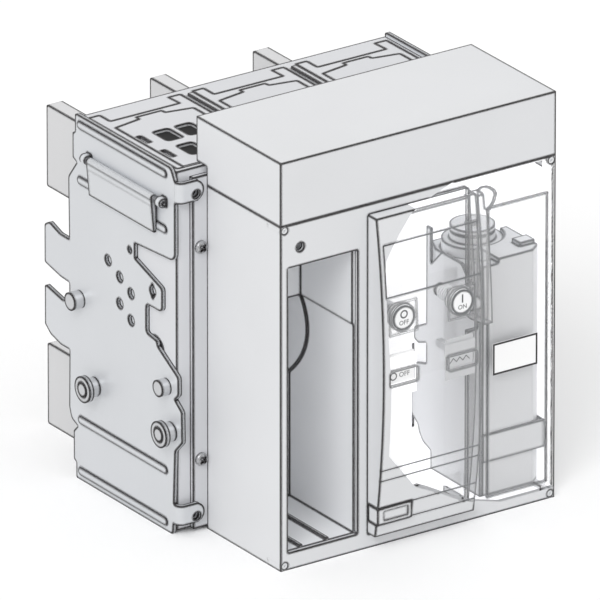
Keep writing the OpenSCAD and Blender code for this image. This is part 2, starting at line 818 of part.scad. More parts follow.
module side_plate() {
    difference() {
        slab_x(plate_x0, sheet_t, rounded(plate_outline));
        for (h = plate_holes) rod_x(plate_x0 - 1, h[0], h[1], plate_hole_r, sheet_t + 2);
        rod_x(plate_x0 - 1, 119.4, 158.1, 1.85, sheet_t + 2);
        rod_x(plate_x0 - 1, 96.6, 141, 2.8, sheet_t + 2);
        block([plate_x0 - 1, 95.8, 136.6], [plate_xi + 1, 97.4, 145.4]);
        for (y = roller_y) rod_x(plate_x0 - 1, y, roller_z, roller_pin_r, sheet_t + 2);
    }
    for (z = bead_z) stadium(bead_y[0], bead_y[1], z, bead_w, plate_x0 - bead_h, plate_x0 + eps);
    for (i = [0, 1]) lug(lug_z[i], lug_h[i]);
    for (y = [grip_y0 - ear_l - 4, grip_y0 + grip_l + 1]) hinge_ear(y);
}

module side_plate_left() color("gainsboro") placed() side_plate();
module side_plate_right() color("gainsboro") placed() mirrored() side_plate();

module studs() {
    rod_x(plate_x0 - stud_l, stud_yz[0], stud_yz[1], stud_r, stud_l);
    rod_x(plate_x0 - front_stud_l, front_stud_yz[0], front_stud_yz[1], front_stud_r, front_stud_l);
}

module guide_studs() color("silver") placed() {
    studs();
    mirrored() studs();
}

module pins() {
    for (y = roller_y) {
        rod_x(plate_x0 - roller_reach - 0.4, y, roller_z, roller_pin_r, roller_reach + 0.4 + sheet_t);
    }
}

module roller_pins() color("silver") placed() {
    pins();
    mirrored() pins();
}

module roller(y) {
    difference() {
        union() {
            rod_x(plate_x0 - roller_reach, y, roller_z, roller_r, roller_reach - gap);
            rod_x(plate_x0 - roller_reach, y, roller_z, roller_flange_r, roller_flange_t);
        }
        rod_x(plate_x0 - roller_reach - 1, y, roller_z, roller_pin_r + run, roller_reach + 2);
    }
}

module roller_front_left() color("lightgray") placed() roller(roller_y[0]);
module roller_rear_left() color("lightgray") placed() roller(roller_y[1]);
module roller_front_right() color("lightgray") placed() mirrored() roller(roller_y[0]);
module roller_rear_right() color("lightgray") placed() mirrored() roller(roller_y[1]);

// Carrying handle: a folded flap that hangs from its hinge against the plate
module grip() {
    x = plate_x0 - grip_out;
    outer = x - grip_barrel_r;
    lean = 1.9;
    z0 = grip_z - grip_h;
    difference() {
        union() {
            rod_y(x, grip_y0, grip_z, grip_barrel_r, grip_l);
            difference() {
                translate([0, grip_y0 + grip_l, 0]) rotate([90, 0, 0]) linear_extrude(grip_l)
                    polygon([[outer, grip_z], [outer + lean, z0], [plate_x0 - bead_h - gap, z0],
                             [plate_x0 - bead_h - gap, grip_z - 6], [x, grip_z]]);
                translate([0, grip_y0 + grip_l - grip_t, 0]) rotate([90, 0, 0])
                    linear_extrude(grip_l - 2 * grip_t) polygon([
                        [outer + grip_t, grip_z - 4], [outer + lean + grip_t, z0 - 1],
                        [x + 9, z0 - 1], [x + 9, grip_z - 4]]);
            }
        }
        rod_y(x, grip_y0 - 1, grip_z, grip_pin_r + run, grip_l + 2);
    }
}

module grip_left() color("gainsboro") placed() grip();
module grip_right() color("gainsboro") placed() mirrored() grip();

module grip_pin()
    rod_y(plate_x0 - grip_out, grip_y0 - ear_l - 5, grip_z, grip_pin_r, grip_l + 2 * ear_l + 7);

module grip_pins() color("silver") placed() {
    grip_pin();
    mirrored() grip_pin();
}

module grip_spring()
    translate([plate_x0 - grip_out, grip_y0 - 3.8, grip_z]) rotate([-90, 0, 0])
        coil(grip_pin_r + 0.55, 0.35, 3.6, 3);

module grip_springs() color("silver") placed() {
    grip_spring();
    mirrored() grip_spring();
}

// Pole case, arc chutes and terminals
poles = [for (i = [-1:1]) plate_mid_x + i * pole_pitch];
chamber_y1 = case_y1 - case_rear;
chamber_y0 = case_y + case_front;
case_z0 = 2;
case_x1 = case_x0 + case_w;
chute_top_h = 8.5;
chute_z0 = 182;
chute_block_y1 = chamber_y1 - 7.7;
wing_y1 = 168;
wing_in = 23.6;
blade_x0 = blade_shift - blade_t / 2;
pivot = [case_y + 41.6, 60];
shaft_yz = [case_y + 20.6, 105];
drive_z = shaft_yz[1] + crank_r;
lever_arm = 16;
centres = norm(shaft_yz - pivot);
shaft_swing = contact_open * (centres - lever_arm) / lever_arm;
rib_h = 1.4;

// Outline of a chute's top, widened by m
function chute_top(m) = let(h = chamber_w / 2 - gap + m) [
    [-h, chamber_y0 - 4 - m], [h, chamber_y0 - 4 - m], [h, wing_y1 + m], [wing_in - 0.6 - m, wing_y1 + m],
    [wing_in - m, chamber_y1 + m], [-wing_in + m, chamber_y1 + m], [-wing_in + m, wing_y1 + m],
    [-h, wing_y1 + m]
];

// Outline of the cover plate on a chute, widened by m
function chute_plate(m) = [
    [-26 - m, 81 - m], [26 + m, 81 - m], [26 + m, 147.7 + m * 0.8], [9 + m * 0.8, 151 + m],
    [9 + m, 154.3 + m], [-8 - m, 154.3 + m], [-8 - m * 0.8, 151 + m], [-26 - m, 148 + m * 0.8]
];

module pole_case() color("gainsboro") placed() difference() {
    union() {
        block([case_x0, case_y, case_z0], [case_x1, case_y1, case_top]);
        for (i = [0, 1]) let(x = (poles[i] + poles[i + 1]) / 2)
            block([x - 1.6, chamber_y0, case_top - eps], [x + 1.6, case_y1 - 8.9, case_top + rib_h]);
    }
    for (c = poles) translate([c, 0, 0]) {
        block([-chamber_w / 2, chamber_y0, case_z0 + case_floor],
              [chamber_w / 2, chamber_y1, case_top + 2]);
        slab_z(case_top - chute_top_h, chute_top_h + 3, chute_top(gap));
        block([blade_x0, chamber_y1 - 1, blade_upper_z],
              [blade_x0 + blade_t, case_y1 + 1, blade_upper_z + blade_h]);
        block([blade_x0, chamber_y1 - 1, 12], [blade_x0 + blade_t, case_y1 + 1, blade_h]);
    }
    rod_x(case_x0 - 1, shaft_yz[0], shaft_yz[1], pole_shaft_r + run, case_w + 2);
    rod_y(drive_x, case_y - 1, drive_z, drive_rod_r + run, case_front + 2);
    block([motor_plate_x - 0.6, case_y - 1, 30], [motor_plate_x + motor_plate_t + 0.6, case_y + 4.6, 78]);
    for (z = screw_z) rod_y(screw_x, case_y - 1, z, 2.5, 8);
    for (z = lug_z) rod_y(-8.5, case_y - 1, z - 2.4, lug_hole_r, 6);
}

module arc_chute(c) translate([c, 0, 0]) {
    w = chamber_w / 2 - gap;
    wall = 3;
    z1 = case_top - chute_top_h;
    difference() {
        union() {
            slab_z(z1, chute_top_h, chute_top(0));
            block([-w, chamber_y0 + gap, chute_z0], [w, chute_block_y1, z1 + eps]);
        }
        block([-w + wall, chamber_y0 + gap + wall, chute_z0 - 1],
              [w - wall, chute_block_y1 - wall, z1 + 3]);
        slab_z(case_top - 3, 4, chute_plate(gap));
        block([-20, chamber_y0 + 8, z1], [20, chamber_y1 - 14.4, case_top]);
    }
}

module arc_chute_left() color("gainsboro") placed() arc_chute(poles[0]);
module arc_chute_middle() color("gainsboro") placed() arc_chute(poles[1]);
module arc_chute_right() color("gainsboro") placed() arc_chute(poles[2]);

vent = [10.8, 16];
vent_y = [92, 115.7];
vent_x = 2;

module chute_cover(c) translate([c, 0, 0]) difference() {
    slab_z(case_top - 3, 3, chute_plate(0));
    for (y = vent_y, s = [0, 1]) let(x1 = s * (2 * vent_x + vent[0]) - vent_x)
        slab_z(case_top - 4, 5, round_rect(x1 - vent[0], y, x1, y + vent[1], 2));
    for (y = [95.6, 119.8], x = [-24, 20.8])
        block([x, y, case_top - 1.5], [x + 3.2, y + 11.2, case_top + 1]);
}

module chute_covers() color("gainsboro") placed() for (c = poles) chute_cover(c);

module splitter_plates() color("gray") placed() {
    w = chamber_w / 2 - gap - 3;
    for (c = poles, k = [0:7]) translate([c, chamber_y0 + 8.5 + 6.6 * k, 0]) difference() {
        block([-w, 0, chute_z0 + 2], [w, 1.6, case_top - chute_top_h - 1]);
        rod_y(0, -1, chute_z0 - 2, 11, 4);
    }
}

blade_y0 = chamber_y1 - 5.4;

module upper_blade(c) translate([c, 0, 0]) {
    slab_x(blade_x0, blade_t, rounded([
        [blade_y0, blade_upper_z, 0], [blade_y1, blade_upper_z, 1.5],
        [blade_y1, blade_upper_z + blade_h, 1.5], [blade_y0, blade_upper_z + blade_h, 0]]));
    block([-12, blade_y0 - 6, blade_upper_z + 2], [12, blade_y0 + eps, 180]);
    block([-8, blade_y0 - 8.4, 158], [8, blade_y0 - 6 + eps, 176]);
}

module upper_blade_left() color("peru") placed() upper_blade(poles[0]);
module upper_blade_middle() color("peru") placed() upper_blade(poles[1]);
module upper_blade_right() color("peru") placed() upper_blade(poles[2]);

ear_in = arm_half + gap;
ear_out = ear_in + 3.2;

module lower_blade(c) translate([c, 0, 0]) {
    slab_x(blade_x0, blade_t, rounded([
        [138, 12, 0], [case_y1, 12, 0], [case_y1, 0, 0], [blade_y1, 0, 1.5],
        [blade_y1, blade_h, 1.5], [138, blade_h, 0]]));
    block([-ear_out, 130, 14], [ear_out, 138 + eps, blade_h]);
    for (x = [-ear_out, ear_in]) difference() {
        union() {
            slab_x(x, ear_out - ear_in,
                   [[114, 48], [122, 30], [131, 24], [131, blade_h], [124, 64], [114, 64]]);
            rod_x(x, pivot[0], pivot[1], 8, ear_out - ear_in);
        }
        rod_x(x - 1, pivot[0], pivot[1], pivot_r, 6);
    }
}

module lower_blade_left() color("peru") placed() lower_blade(poles[0]);
module lower_blade_middle() color("peru") placed() lower_blade(poles[1]);
module lower_blade_right() color("peru") placed() lower_blade(poles[2]);

// A contact arm, drawn closed and turned to its open place
module contact_arm(c) translate([c, pivot[0], pivot[1]]) rotate([contact_open, 0, 0]) {
    dir = (shaft_yz - pivot) / centres;
    slot_at = (centres - lever_arm) * dir;
    tilt = atan2(dir[1], dir[0]) - contact_open / 2;
    difference() {
        union() {
            rod_x(-arm_half, 0, 0, 9, 2 * arm_half);
            slab_x(-arm_half + 0.5, 2 * arm_half - 1, rounded([
                [-8, 1, 0], [8, 1, 0], [13, 40, 3], [22.6, 94, 2], [22.6, 117, 3], [13, 117, 3],
                [2, 60, 4]]));
            slab_x(-arm_half + 2, 2 * arm_half - 4, [[22.5, 98], [25.2, 99], [25.2, 114], [22.5, 115]]);
            rotate([tilt, 0, 0])
                slab_x(-arm_half + 1, 2 * arm_half - 2,
                       [[2, -8], [norm(slot_at) + 6, -7], [norm(slot_at) + 6, 7], [2, 8]]);
        }
        rod_x(-arm_half - 1, 0, 0, pivot_r + run, 2 * arm_half + 2);
        rotate([tilt, 0, 0])
            stadium(norm(slot_at) - drive_pin_r - 1.5, norm(slot_at) + drive_pin_r + 8, 0,
                    2 * (drive_pin_r + gap), -arm_half - 1, arm_half + 1);
    }
}

module contact_arms() color("peru") placed() for (c = poles) contact_arm(c);

module contact_pins() color("silver") placed()
    for (c = poles) rod_x(c - ear_out - 1, pivot[0], pivot[1], pivot_r, 2 * ear_out + 2);

module current_sensors() color("dimgray") placed()
    for (c = poles) translate([c, 0, 0]) difference() {
        block([-20, chamber_y1 - 18.4, case_z0 + case_floor], [16, chamber_y1 - 1.4, 62]);
        block([blade_x0, chamber_y1 - 19.4, 12], [blade_x0 + blade_t, chamber_y1 - 0.4, blade_h]);
    }

// Pole shaft with the levers that move the arms, drawn in its open place
module pole_shaft() color("silver") placed() {
    rod_x(case_x0 + 1, shaft_yz[0], shaft_yz[1], pole_shaft_r, case_w - 2);
    dir = (pivot - shaft_yz) / centres;
    rest = atan2(dir[1], dir[0]) - shaft_swing / 2;
    translate([0, shaft_yz[0], shaft_yz[1]]) rotate([rest, 0, 0]) for (c = poles) {
        for (x = [c - ear_out, c + ear_in])
            slab_x(x, ear_out - ear_in,
                   [[0, -10], [lever_arm + 5, -5], [lever_arm + 5, 5], [0, 10], [-5, 5], [-5, -5]]);
        rod_x(c - ear_out, lever_arm, 0, drive_pin_r, 2 * ear_out);
    }
    translate([0, shaft_yz[0], shaft_yz[1]]) rotate([-shaft_swing / 2, 0, 0]) {
        for (x = [drive_x - 5.8, drive_x + 3.3])
            slab_x(x, 2.5, [[-9, 0], [-4, 18], [4, 18], [9, 0]]);
        rod_x(drive_x - 5.8, 0, crank_r, 2.5, 11.6);
    }
}

// Rod from the mechanism that pulls the pole shaft's crank
crank_throw = crank_r * sin(shaft_swing / 2);

module drive_rod() color("silver") placed() translate([0, crank_throw, 0]) {
    difference() {
        union() {
            rod_y(drive_x, 69, drive_z, drive_rod_r, 29);
            block([drive_x - 2.9, 91.5, drive_z - 5], [drive_x + 2.9, 102.5, drive_z + 7]);
        }
        block([drive_x - 5, shaft_yz[0] - 2.5 - gap, drive_z - 8],
              [drive_x + 5, shaft_yz[0] + 2.5 + gap, drive_z + 4]);
    }
}

// Spring mechanism behind the shroud
mech_x = [77, 105];
mech_t = 3;
mech_y = shroud_y + shroud_wall + 0.5;
charge_yz = [59, 78];
charge_r = 5;
cam_rise = 8;
spring_top = 158;
spring_x = mech_x[0] + 12.5;
plunger_rod_r = 3.5;
cam_r = 7.5;
wheel_r = 15;

module mechanism_plates() color("silver") placed() {
    for (x = mech_x) difference() {
        block([x, mech_y, 30], [x + mech_t, cover_d, 168]);
        rod_x(x - 1, charge_yz[0], charge_yz[1], charge_r + run, mech_t + 2);
    }
    for (p = [[mech_y + 4, 36], [mech_y + 4, 164], [cover_d - 5, 36]])
        rod_x(mech_x[0] + mech_t - eps, p[0], p[1], 3, mech_x[1] - mech_x[0] - mech_t + 2 * eps);
    difference() {
        block([mech_x[0] + mech_t - eps, charge_yz[0] - 8, spring_top],
              [mech_x[1] + eps, charge_yz[0] + 8, spring_top + 4]);
        rod_z(spring_x, charge_yz[0], spring_top - 1, plunger_rod_r + run, 6);
    }
}

// Radius of the snail cam, which grows evenly over half a turn and falls off behind it
function snail(a) = cam_r + cam_rise * max(0, a <= 190 ? min(1, a / 180) : (220 - a) / 30);

module charging_shaft() color("silver") placed() {
    rod_x(mech_x[0] - 4, charge_yz[0], charge_yz[1], charge_r, mech_x[1] + mech_t + 4.3 - mech_x[0]);
    translate([spring_x - 5, charge_yz[0], charge_yz[1]]) rotate([90, 0, 90]) linear_extrude(10)
        polygon([for (i = [0:71]) let(a = 5 * i) snail(a - 10) * [cos(90 + a), sin(90 + a)]]);
    translate([mech_x[1] - 7, charge_yz[0], charge_yz[1]]) rotate([90, 0, 90]) linear_extrude(4)
        polygon([for (i = [0:35]) (wheel_r - 2 * (i % 2)) * [cos(10 * i), sin(10 * i)]]);
}

plunger_z = charge_yz[1] + cam_r + gap;

module spring_plunger() color("silver") placed() {
    x = spring_x;
    block([x - 4, charge_yz[0] - 5, plunger_z], [x + 4, charge_yz[0] + 5, plunger_z + 4]);
    rod_z(x, charge_yz[0], plunger_z + 4 - eps, 4, 6);
    rod_z(x, charge_yz[0], plunger_z + 10 - eps, 9, 2.5);
    rod_z(x, charge_yz[0], plunger_z + 12, plunger_rod_r, spring_top + 6 - plunger_z - 12);
}

module closing_spring() color("dimgray") placed()
    translate([spring_x, charge_yz[0], plunger_z + 12.5 + gap])
        coil(7, 1.4, spring_top - plunger_z - 12.5 - 2 * gap, 8);

// Gear motor, seen through the clear part of the cover
motor_y0 = 5.2;
motor_x0 = motor_plate_x + motor_plate_t;
strap_z = [30.3, 47.2];
motor_z0 = 9.6;
motor_x1 = cover_w - 4.8;
motor_top = 151.9;
can_xy = [cover_w - 27.1, 42.4];
can_top = 150.3;
can_foot = 24;
neck_h = 5;
// The sunk left part of the housing's top: its floor, its right edge, and the bridge before it
pocket_z = 144.2;
pocket_x1 = cover_w - 35;
bridge_y = 12.7;
roof_y1 = 41;
motor_profile = [
    [motor_y0, motor_z0, 0], [53.9, motor_z0, 0], [53.9, 20.6, 1], [61.5, 23.4, 5], [65.3, 28.2, 2],
    [66.6, 32.4, 2], [75.5, 38.6, 8], [79.9, 48.8, 6], [77.4, 60, 5], [73, 66.6, 4], [67.9, 69.9, 3],
    [58.3, 72.6, 0], [58.3, 84.8, 0], [66, 82.1, 2], [70.4, 83.5, 1.5], [70, 91, 2], [58.3, 97, 0],
    [58.3, 156.1, 0], [54, 156.1, 0], [54, 134.6, 0], [43.4, 145.5, 0], [24.2, 145.5, 0], [14.4, 135, 0],
    [14.4, 150.8, 0], [motor_y0, 150.8, 0]
];

module motor_plate() color("lightgray") placed()
    slab_x(motor_plate_x, motor_plate_t, rounded(motor_profile));

// Housing with a round seat for the can, a sunk top on the left, a roof on the right and a lug
module motor_housing() color("lightgray") placed() difference() {
    union() {
        slab_z(motor_z0, motor_top - motor_z0, rounded([
            [motor_x0, motor_y0, 0], [motor_x1 - 6.6, motor_y0, 2], [motor_x1, motor_y0 + 5, 2],
            [motor_x1, 52, 2], [can_xy[0] + 14, 62.5, 2], [can_xy[0] - 14, 62.5, 2], [motor_x0, 52, 0]]));
        block([motor_x1 - 11, 12, motor_top - eps], [motor_x1 - 1, 20, motor_top + 2.6]);
    }
    block([motor_x0 - 1, bridge_y, pocket_z], [pocket_x1, 63, motor_top + 1]);
    block([motor_x0 - 1, motor_y0 - 1, motor_top - 2.7], [pocket_x1, bridge_y + 1, motor_top + 1]);
    block([pocket_x1 - 1, roof_y1, pocket_z], [motor_x1 + 1, 63, motor_top + 1]);
    rod_z(can_xy[0], can_xy[1], can_top - can_foot - gap, can_r + gap, 40);
    for (z = strap_z)
        block([motor_x0 - 1, motor_y0 - 1, z - 0.3], [motor_x1 + 1, motor_y0 + 0.5, z + 0.3]);
}

module motor_can() color("silver") placed() difference() {
    union() {
        rod_z(can_xy[0], can_xy[1], can_top - can_foot, can_r, can_foot);
        rod_z(can_xy[0], can_xy[1], can_top - eps, disc_r, neck_h);
    }
    rod_z(can_xy[0], can_xy[1], can_top - 15, 3 + run, 40);
}

module motor_coupling() color("silver") placed() {
    z = can_top + neck_h + gap;
    rod_z(can_xy[0], can_xy[1], z, disc_r, 3.1);
    rod_z(can_xy[0], can_xy[1], can_top - 14, 3, z - can_top + 14 + eps);
    translate([can_xy[0], can_xy[1], z + 3.1 - eps]) cylinder(r = hex_r, h = 3.1, $fn = 6);
}

// Steel strap that clamps the motor, with a round swelling at each end
module motor_strap() color("lightgray") placed() {
    block([motor_x0 - 0.3, motor_y0 - 1, strap_z[0]], [motor_x1 + 0.4, motor_y0, strap_z[1]]);
    block([motor_x1, motor_y0 - 1, strap_z[0]], [motor_x1 + 0.8, 50, strap_z[1]]);
    intersection() {
        rod_y(motor_x1 - 22.2, 4, (strap_z[0] + strap_z[1]) / 2, 24, 12);
        block([motor_x1 + 0.4, 4, strap_z[0]], [cover_w - cover_wall - 0.2, 40, strap_z[1] + 10]);
    }
}

front_cover();
cover_window();
terminal_hood();
bay_liner();
fascia();
fascia_window();
indicator_lenses();
cover_screws();
rating_plate();
mounting_frame();
frame_screws();
mechanism_shroud();
motor_barrier();
aux_terminals();
side_plate_left();
side_plate_right();
guide_studs();
roller_pins();
roller_front_left();
roller_rear_left();
roller_front_right();
roller_rear_right();
grip_left();
grip_right();
grip_pins();
grip_springs();
pole_case();
arc_chute_left();
arc_chute_middle();
arc_chute_right();
chute_covers();
splitter_plates();
upper_blade_left();
upper_blade_middle();
upper_blade_right();
lower_blade_left();
lower_blade_middle();
lower_blade_right();
contact_arms();
contact_pins();
current_sensors();
pole_shaft();
drive_rod();
mechanism_plates();
charging_shaft();
spring_plunger();
closing_spring();
charging_lever();
lever_pin();
off_button();
on_button();
button_springs();
position_flag();
spring_flag();
padlock_tab();
motor_plate();
motor_housing();
motor_can();
motor_coupling();
motor_strap();
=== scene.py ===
"""Looks of the withdrawable unit of a three-pole low-voltage circuit breaker.

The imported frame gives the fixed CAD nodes. This script dresses them, replaces the springs,
screws and clear joints with finer pieces, and adds the marks, floor, lamp and camera.
Lengths are metres in the row frame: X to the right, Y to the rear, Z up, the origin at the
middle of the footprint. Helpers that take millimetres, and the sizes in the classes, count
them from the cover's lower left corner.
"""

import json
import logging
import math
from dataclasses import dataclass
from enum import Enum
from typing import Callable, Iterable, Sequence

import bmesh
import bpy
from bmesh.types import BMesh, BMFace
from bpy.types import ID, Material, Mesh, Node, NodeSocket, NodeTree, Object
from mathutils import Matrix, Vector

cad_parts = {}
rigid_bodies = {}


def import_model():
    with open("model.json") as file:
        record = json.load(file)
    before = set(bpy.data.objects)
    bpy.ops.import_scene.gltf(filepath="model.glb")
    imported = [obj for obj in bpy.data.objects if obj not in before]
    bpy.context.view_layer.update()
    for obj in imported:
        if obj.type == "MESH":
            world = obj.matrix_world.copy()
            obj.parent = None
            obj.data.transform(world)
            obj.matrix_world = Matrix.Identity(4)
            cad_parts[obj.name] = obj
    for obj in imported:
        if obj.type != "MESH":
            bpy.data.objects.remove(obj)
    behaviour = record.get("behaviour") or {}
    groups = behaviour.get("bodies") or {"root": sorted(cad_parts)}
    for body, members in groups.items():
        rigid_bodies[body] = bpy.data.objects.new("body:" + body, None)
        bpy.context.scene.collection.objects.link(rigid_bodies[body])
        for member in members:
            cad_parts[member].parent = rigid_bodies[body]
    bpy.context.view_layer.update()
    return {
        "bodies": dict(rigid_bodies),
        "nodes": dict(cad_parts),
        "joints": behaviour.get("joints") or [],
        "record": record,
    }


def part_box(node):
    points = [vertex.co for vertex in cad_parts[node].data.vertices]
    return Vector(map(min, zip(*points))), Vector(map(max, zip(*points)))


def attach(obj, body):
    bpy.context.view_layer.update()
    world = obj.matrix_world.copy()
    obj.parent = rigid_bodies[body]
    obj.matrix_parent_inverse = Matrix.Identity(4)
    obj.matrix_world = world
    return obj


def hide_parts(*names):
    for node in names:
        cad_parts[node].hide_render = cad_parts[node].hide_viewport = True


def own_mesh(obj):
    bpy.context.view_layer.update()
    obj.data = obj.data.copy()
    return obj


LOG = logging.getLogger("breaker")

Pair = tuple[float, float]
Triple = tuple[float, float, float]
Outline = Sequence[Pair]

MM = 0.001

# Signs of a rectangle's corners, in order round it
SQUARE = ((-1, -1), (1, -1), (1, 1), (-1, 1))

# The row frame's origin, in millimetres from the cover's lower left corner
PLATE_MID_X = 85.6
MID_Y = 113.5

# Sizes that more than one sub-assembly uses, in millimetres
COVER_W = 185.6
COVER_H = 208.4
BUTTON_X = (72.8, 112.3)
BUTTON_Z = 141.8
FASCIA_JOINT = (
    (86, 201.8), (82.9, 200.2), (73.2, 189.9), (63.6, 176), (62.2, 166), (62.2, 140), (64.5, 99.7),
    (64.2, 59.3), (83.9, 34.9), (101.2, 26.4), (115.4, 18.3), (126.3, 14))

# The drawing's two line colours, sRGB from 0 to 255
INK = (38, 35, 36)
GREY_INK = (100, 102, 104)


def at(x: float, y: float, z: float) -> Vector:
    """Turn millimetres from the cover's lower left corner into a point of the row frame.

    Args:
        x: Distance to the right of the cover's left edge.
        y: Distance behind the cover's face.
        z: Height above the floor.

    Returns:
        The point in metres, in the row frame.
    """
    return Vector(((x - PLATE_MID_X) * MM, (y - MID_Y) * MM, z * MM))


def linear(value: float) -> float:
    """Turn one sRGB channel from 0 to 255 into a linear value."""
    v = value / 255
    return v / 12.92 if v <= 0.04045 else ((v + 0.055) / 1.055) ** 2.4


def rgba(colour: Sequence[float], alpha: float = 1.0) -> tuple[float, float, float, float]:
    """Turn an sRGB colour from 0 to 255 into Blender's linear colour.

    Args:
        colour: Red, green and blue.
        alpha: The fourth channel.

    Returns:
        The linear colour with its alpha.
    """
    return (linear(colour[0]), linear(colour[1]), linear(colour[2]), alpha)


def linked(name: str, data: ID) -> Object:
    """Make an object and link it into the scene.

    Args:
        name: The object's name.
        data: Its mesh, curve, lamp or camera.

    Returns:
        The object.
    """
    made = bpy.data.objects.new(name, data)
    bpy.context.scene.collection.objects.link(made)
    return made


class Slot(str, Enum):
    """Material slots of the record."""

    MOULDED = "moulded_grey"
    WHITE = "moulded_white"
    CLEAR = "clear_window"
    SHEET = "sheet_steel"
    BRIGHT = "bright_steel"
    MOTOR = "motor_grey"
    BLADE = "blade_metal"
    COPPER = "copper"
    DARK = "dark_plastic"
    LABEL = "label"
    SPRING = "spring_steel"


class Grain(Enum):
    """How a surface's fine relief runs, as the stretch of its noise along X, Y and Z."""

    EVEN = (1.0, 1.0, 1.0)
    ALONG_X = (0.04, 1.0, 1.0)
    ALONG_Y = (1.0, 0.04, 1.0)
    ALONG_Z = (1.0, 1.0, 0.04)


# Shader building


class Graph:
    """A thin layer over a node tree, to add and join nodes in one line."""

    def __init__(self, tree: NodeTree) -> None:
        """Keep the tree and empty it.

        Args:
            tree: The tree to build in.
        """
        self.tree = tree
        tree.nodes.clear()

    def add(self, kind: str, values: dict | None = None, **settings: object) -> Node:
        """Add a node.

        Args:
            kind: The node's type name.
            values: Input values or links, by input name or index.
            settings: Attributes to set on the node.

        Returns:
            The new node.
        """
        node = self.tree.nodes.new(kind)
        for key, value in settings.items():
            setattr(node, key, value)
        for key, value in (values or {}).items():
            if isinstance(value, NodeSocket):
                self.tree.links.new(value, node.inputs[key])
            else:
                node.inputs[key].default_value = value
        return node

    def math(self, operation: str, *values: object) -> NodeSocket:
        """Add a Math node and return its output.

        Args:
            operation: The operation's name.
            values: Its inputs, numbers or sockets.

        Returns:
            The node's output.
        """
        node = self.add("ShaderNodeMath", dict(enumerate(values)), operation=operation)
        return node.outputs[0]

    def blend(self, factor: object, a: object, b: object) -> NodeSocket:
        """Mix two colours.

        Args:
            factor: The share of b, a number or a socket.
            a: First colour, or a socket.
            b: Second colour, or a socket.

        Returns:
            The mixed colour's socket.
        """
        node = self.add("ShaderNodeMix", {0: factor, 6: a, 7: b}, data_type="RGBA")
        return node.outputs[2]


def start_group(name: str, kind: str, inputs: dict[str, object], outputs: dict[str, str]) -> Graph:
    """Start a node group with named sockets.

    Args:
        name: The group's name.
        kind: The type of its tree.
        inputs: Socket name to its default value, or to its type where it has no default.
        outputs: Socket name to its type.

    Returns:
        The group's graph.
    """
    kinds = {float: "NodeSocketFloat", int: "NodeSocketInt", tuple: "NodeSocketVector"}
    tree = bpy.data.node_groups.new(name, kind)
    for key, value in inputs.items():
        given = value if isinstance(value, str) else kinds[type(value)]
        socket = tree.interface.new_socket(key, in_out="INPUT", socket_type=given)
        if given is not value:
            socket.default_value = value
    for key, value in outputs.items():
        tree.interface.new_socket(key, in_out="OUTPUT", socket_type=value)
    return Graph(tree)


class Effects:
    """The shader node groups that the finishes share."""

    def __init__(self) -> None:
        """Build each group once."""
        self.grain = self._grain()
        self.edges = self._edges()

    @staticmethod
    def _grain() -> NodeTree:
        """Make the fine relief and the slow colour drift of a surface.

        Returns:
            The group.
        """
        g = start_group("surface_grain", "ShaderNodeTree",
                        {"Scale": 900.0, "Stretch": (1.0, 1.0, 1.0), "Drift Scale": 14.0},
                        {"Height": "NodeSocketFloat", "Drift": "NodeSocketFloat"})
        inlet = g.add("NodeGroupInput")
        where = g.add("ShaderNodeTexCoord").outputs["Object"]
        turned = g.add("ShaderNodeMapping", {"Vector": where, "Scale": inlet.outputs["Stretch"]})
        fine = g.add("ShaderNodeTexNoise",
                     {"Vector": turned.outputs[0], "Scale": inlet.outputs["Scale"], "Detail": 3.0})
        slow = g.add("ShaderNodeTexNoise",
                     {"Vector": where, "Scale": inlet.outputs["Drift Scale"], "Detail": 2.0})
        g.add("NodeGroupOutput", {"Height": fine.outputs[0], "Drift": slow.outputs[0]})
        return g.tree

    @staticmethod
    def _edges() -> NodeTree:
        """Make the mask of a shape's edges, where a wide bevel's normal leaves the face's own.

        Returns:
            The group, whose mask starts and is full at two cosines between both normals.
        """
        start, full = 0.992, 0.965
        g = start_group("edge_line", "ShaderNodeTree", {"Line Radius": 0.0027}, {"Mask": "NodeSocketFloat"})
        inlet = g.add("NodeGroupInput")
        line = g.add("ShaderNodeBevel", {"Radius": inlet.outputs["Line Radius"]}, samples=12)
        flat = g.add("ShaderNodeNewGeometry").outputs["Normal"]
        turn = g.add("ShaderNodeVectorMath", {0: line.outputs[0], 1: flat}, operation="DOT_PRODUCT")
        mask = g.add("ShaderNodeMapRange", {"Value": turn.outputs["Value"], "From Min": start,
                                            "From Max": full, "To Min": 0.0, "To Max": 1.0})
        g.add("NodeGroupOutput", {"Mask": mask.outputs[0]})
        return g.tree


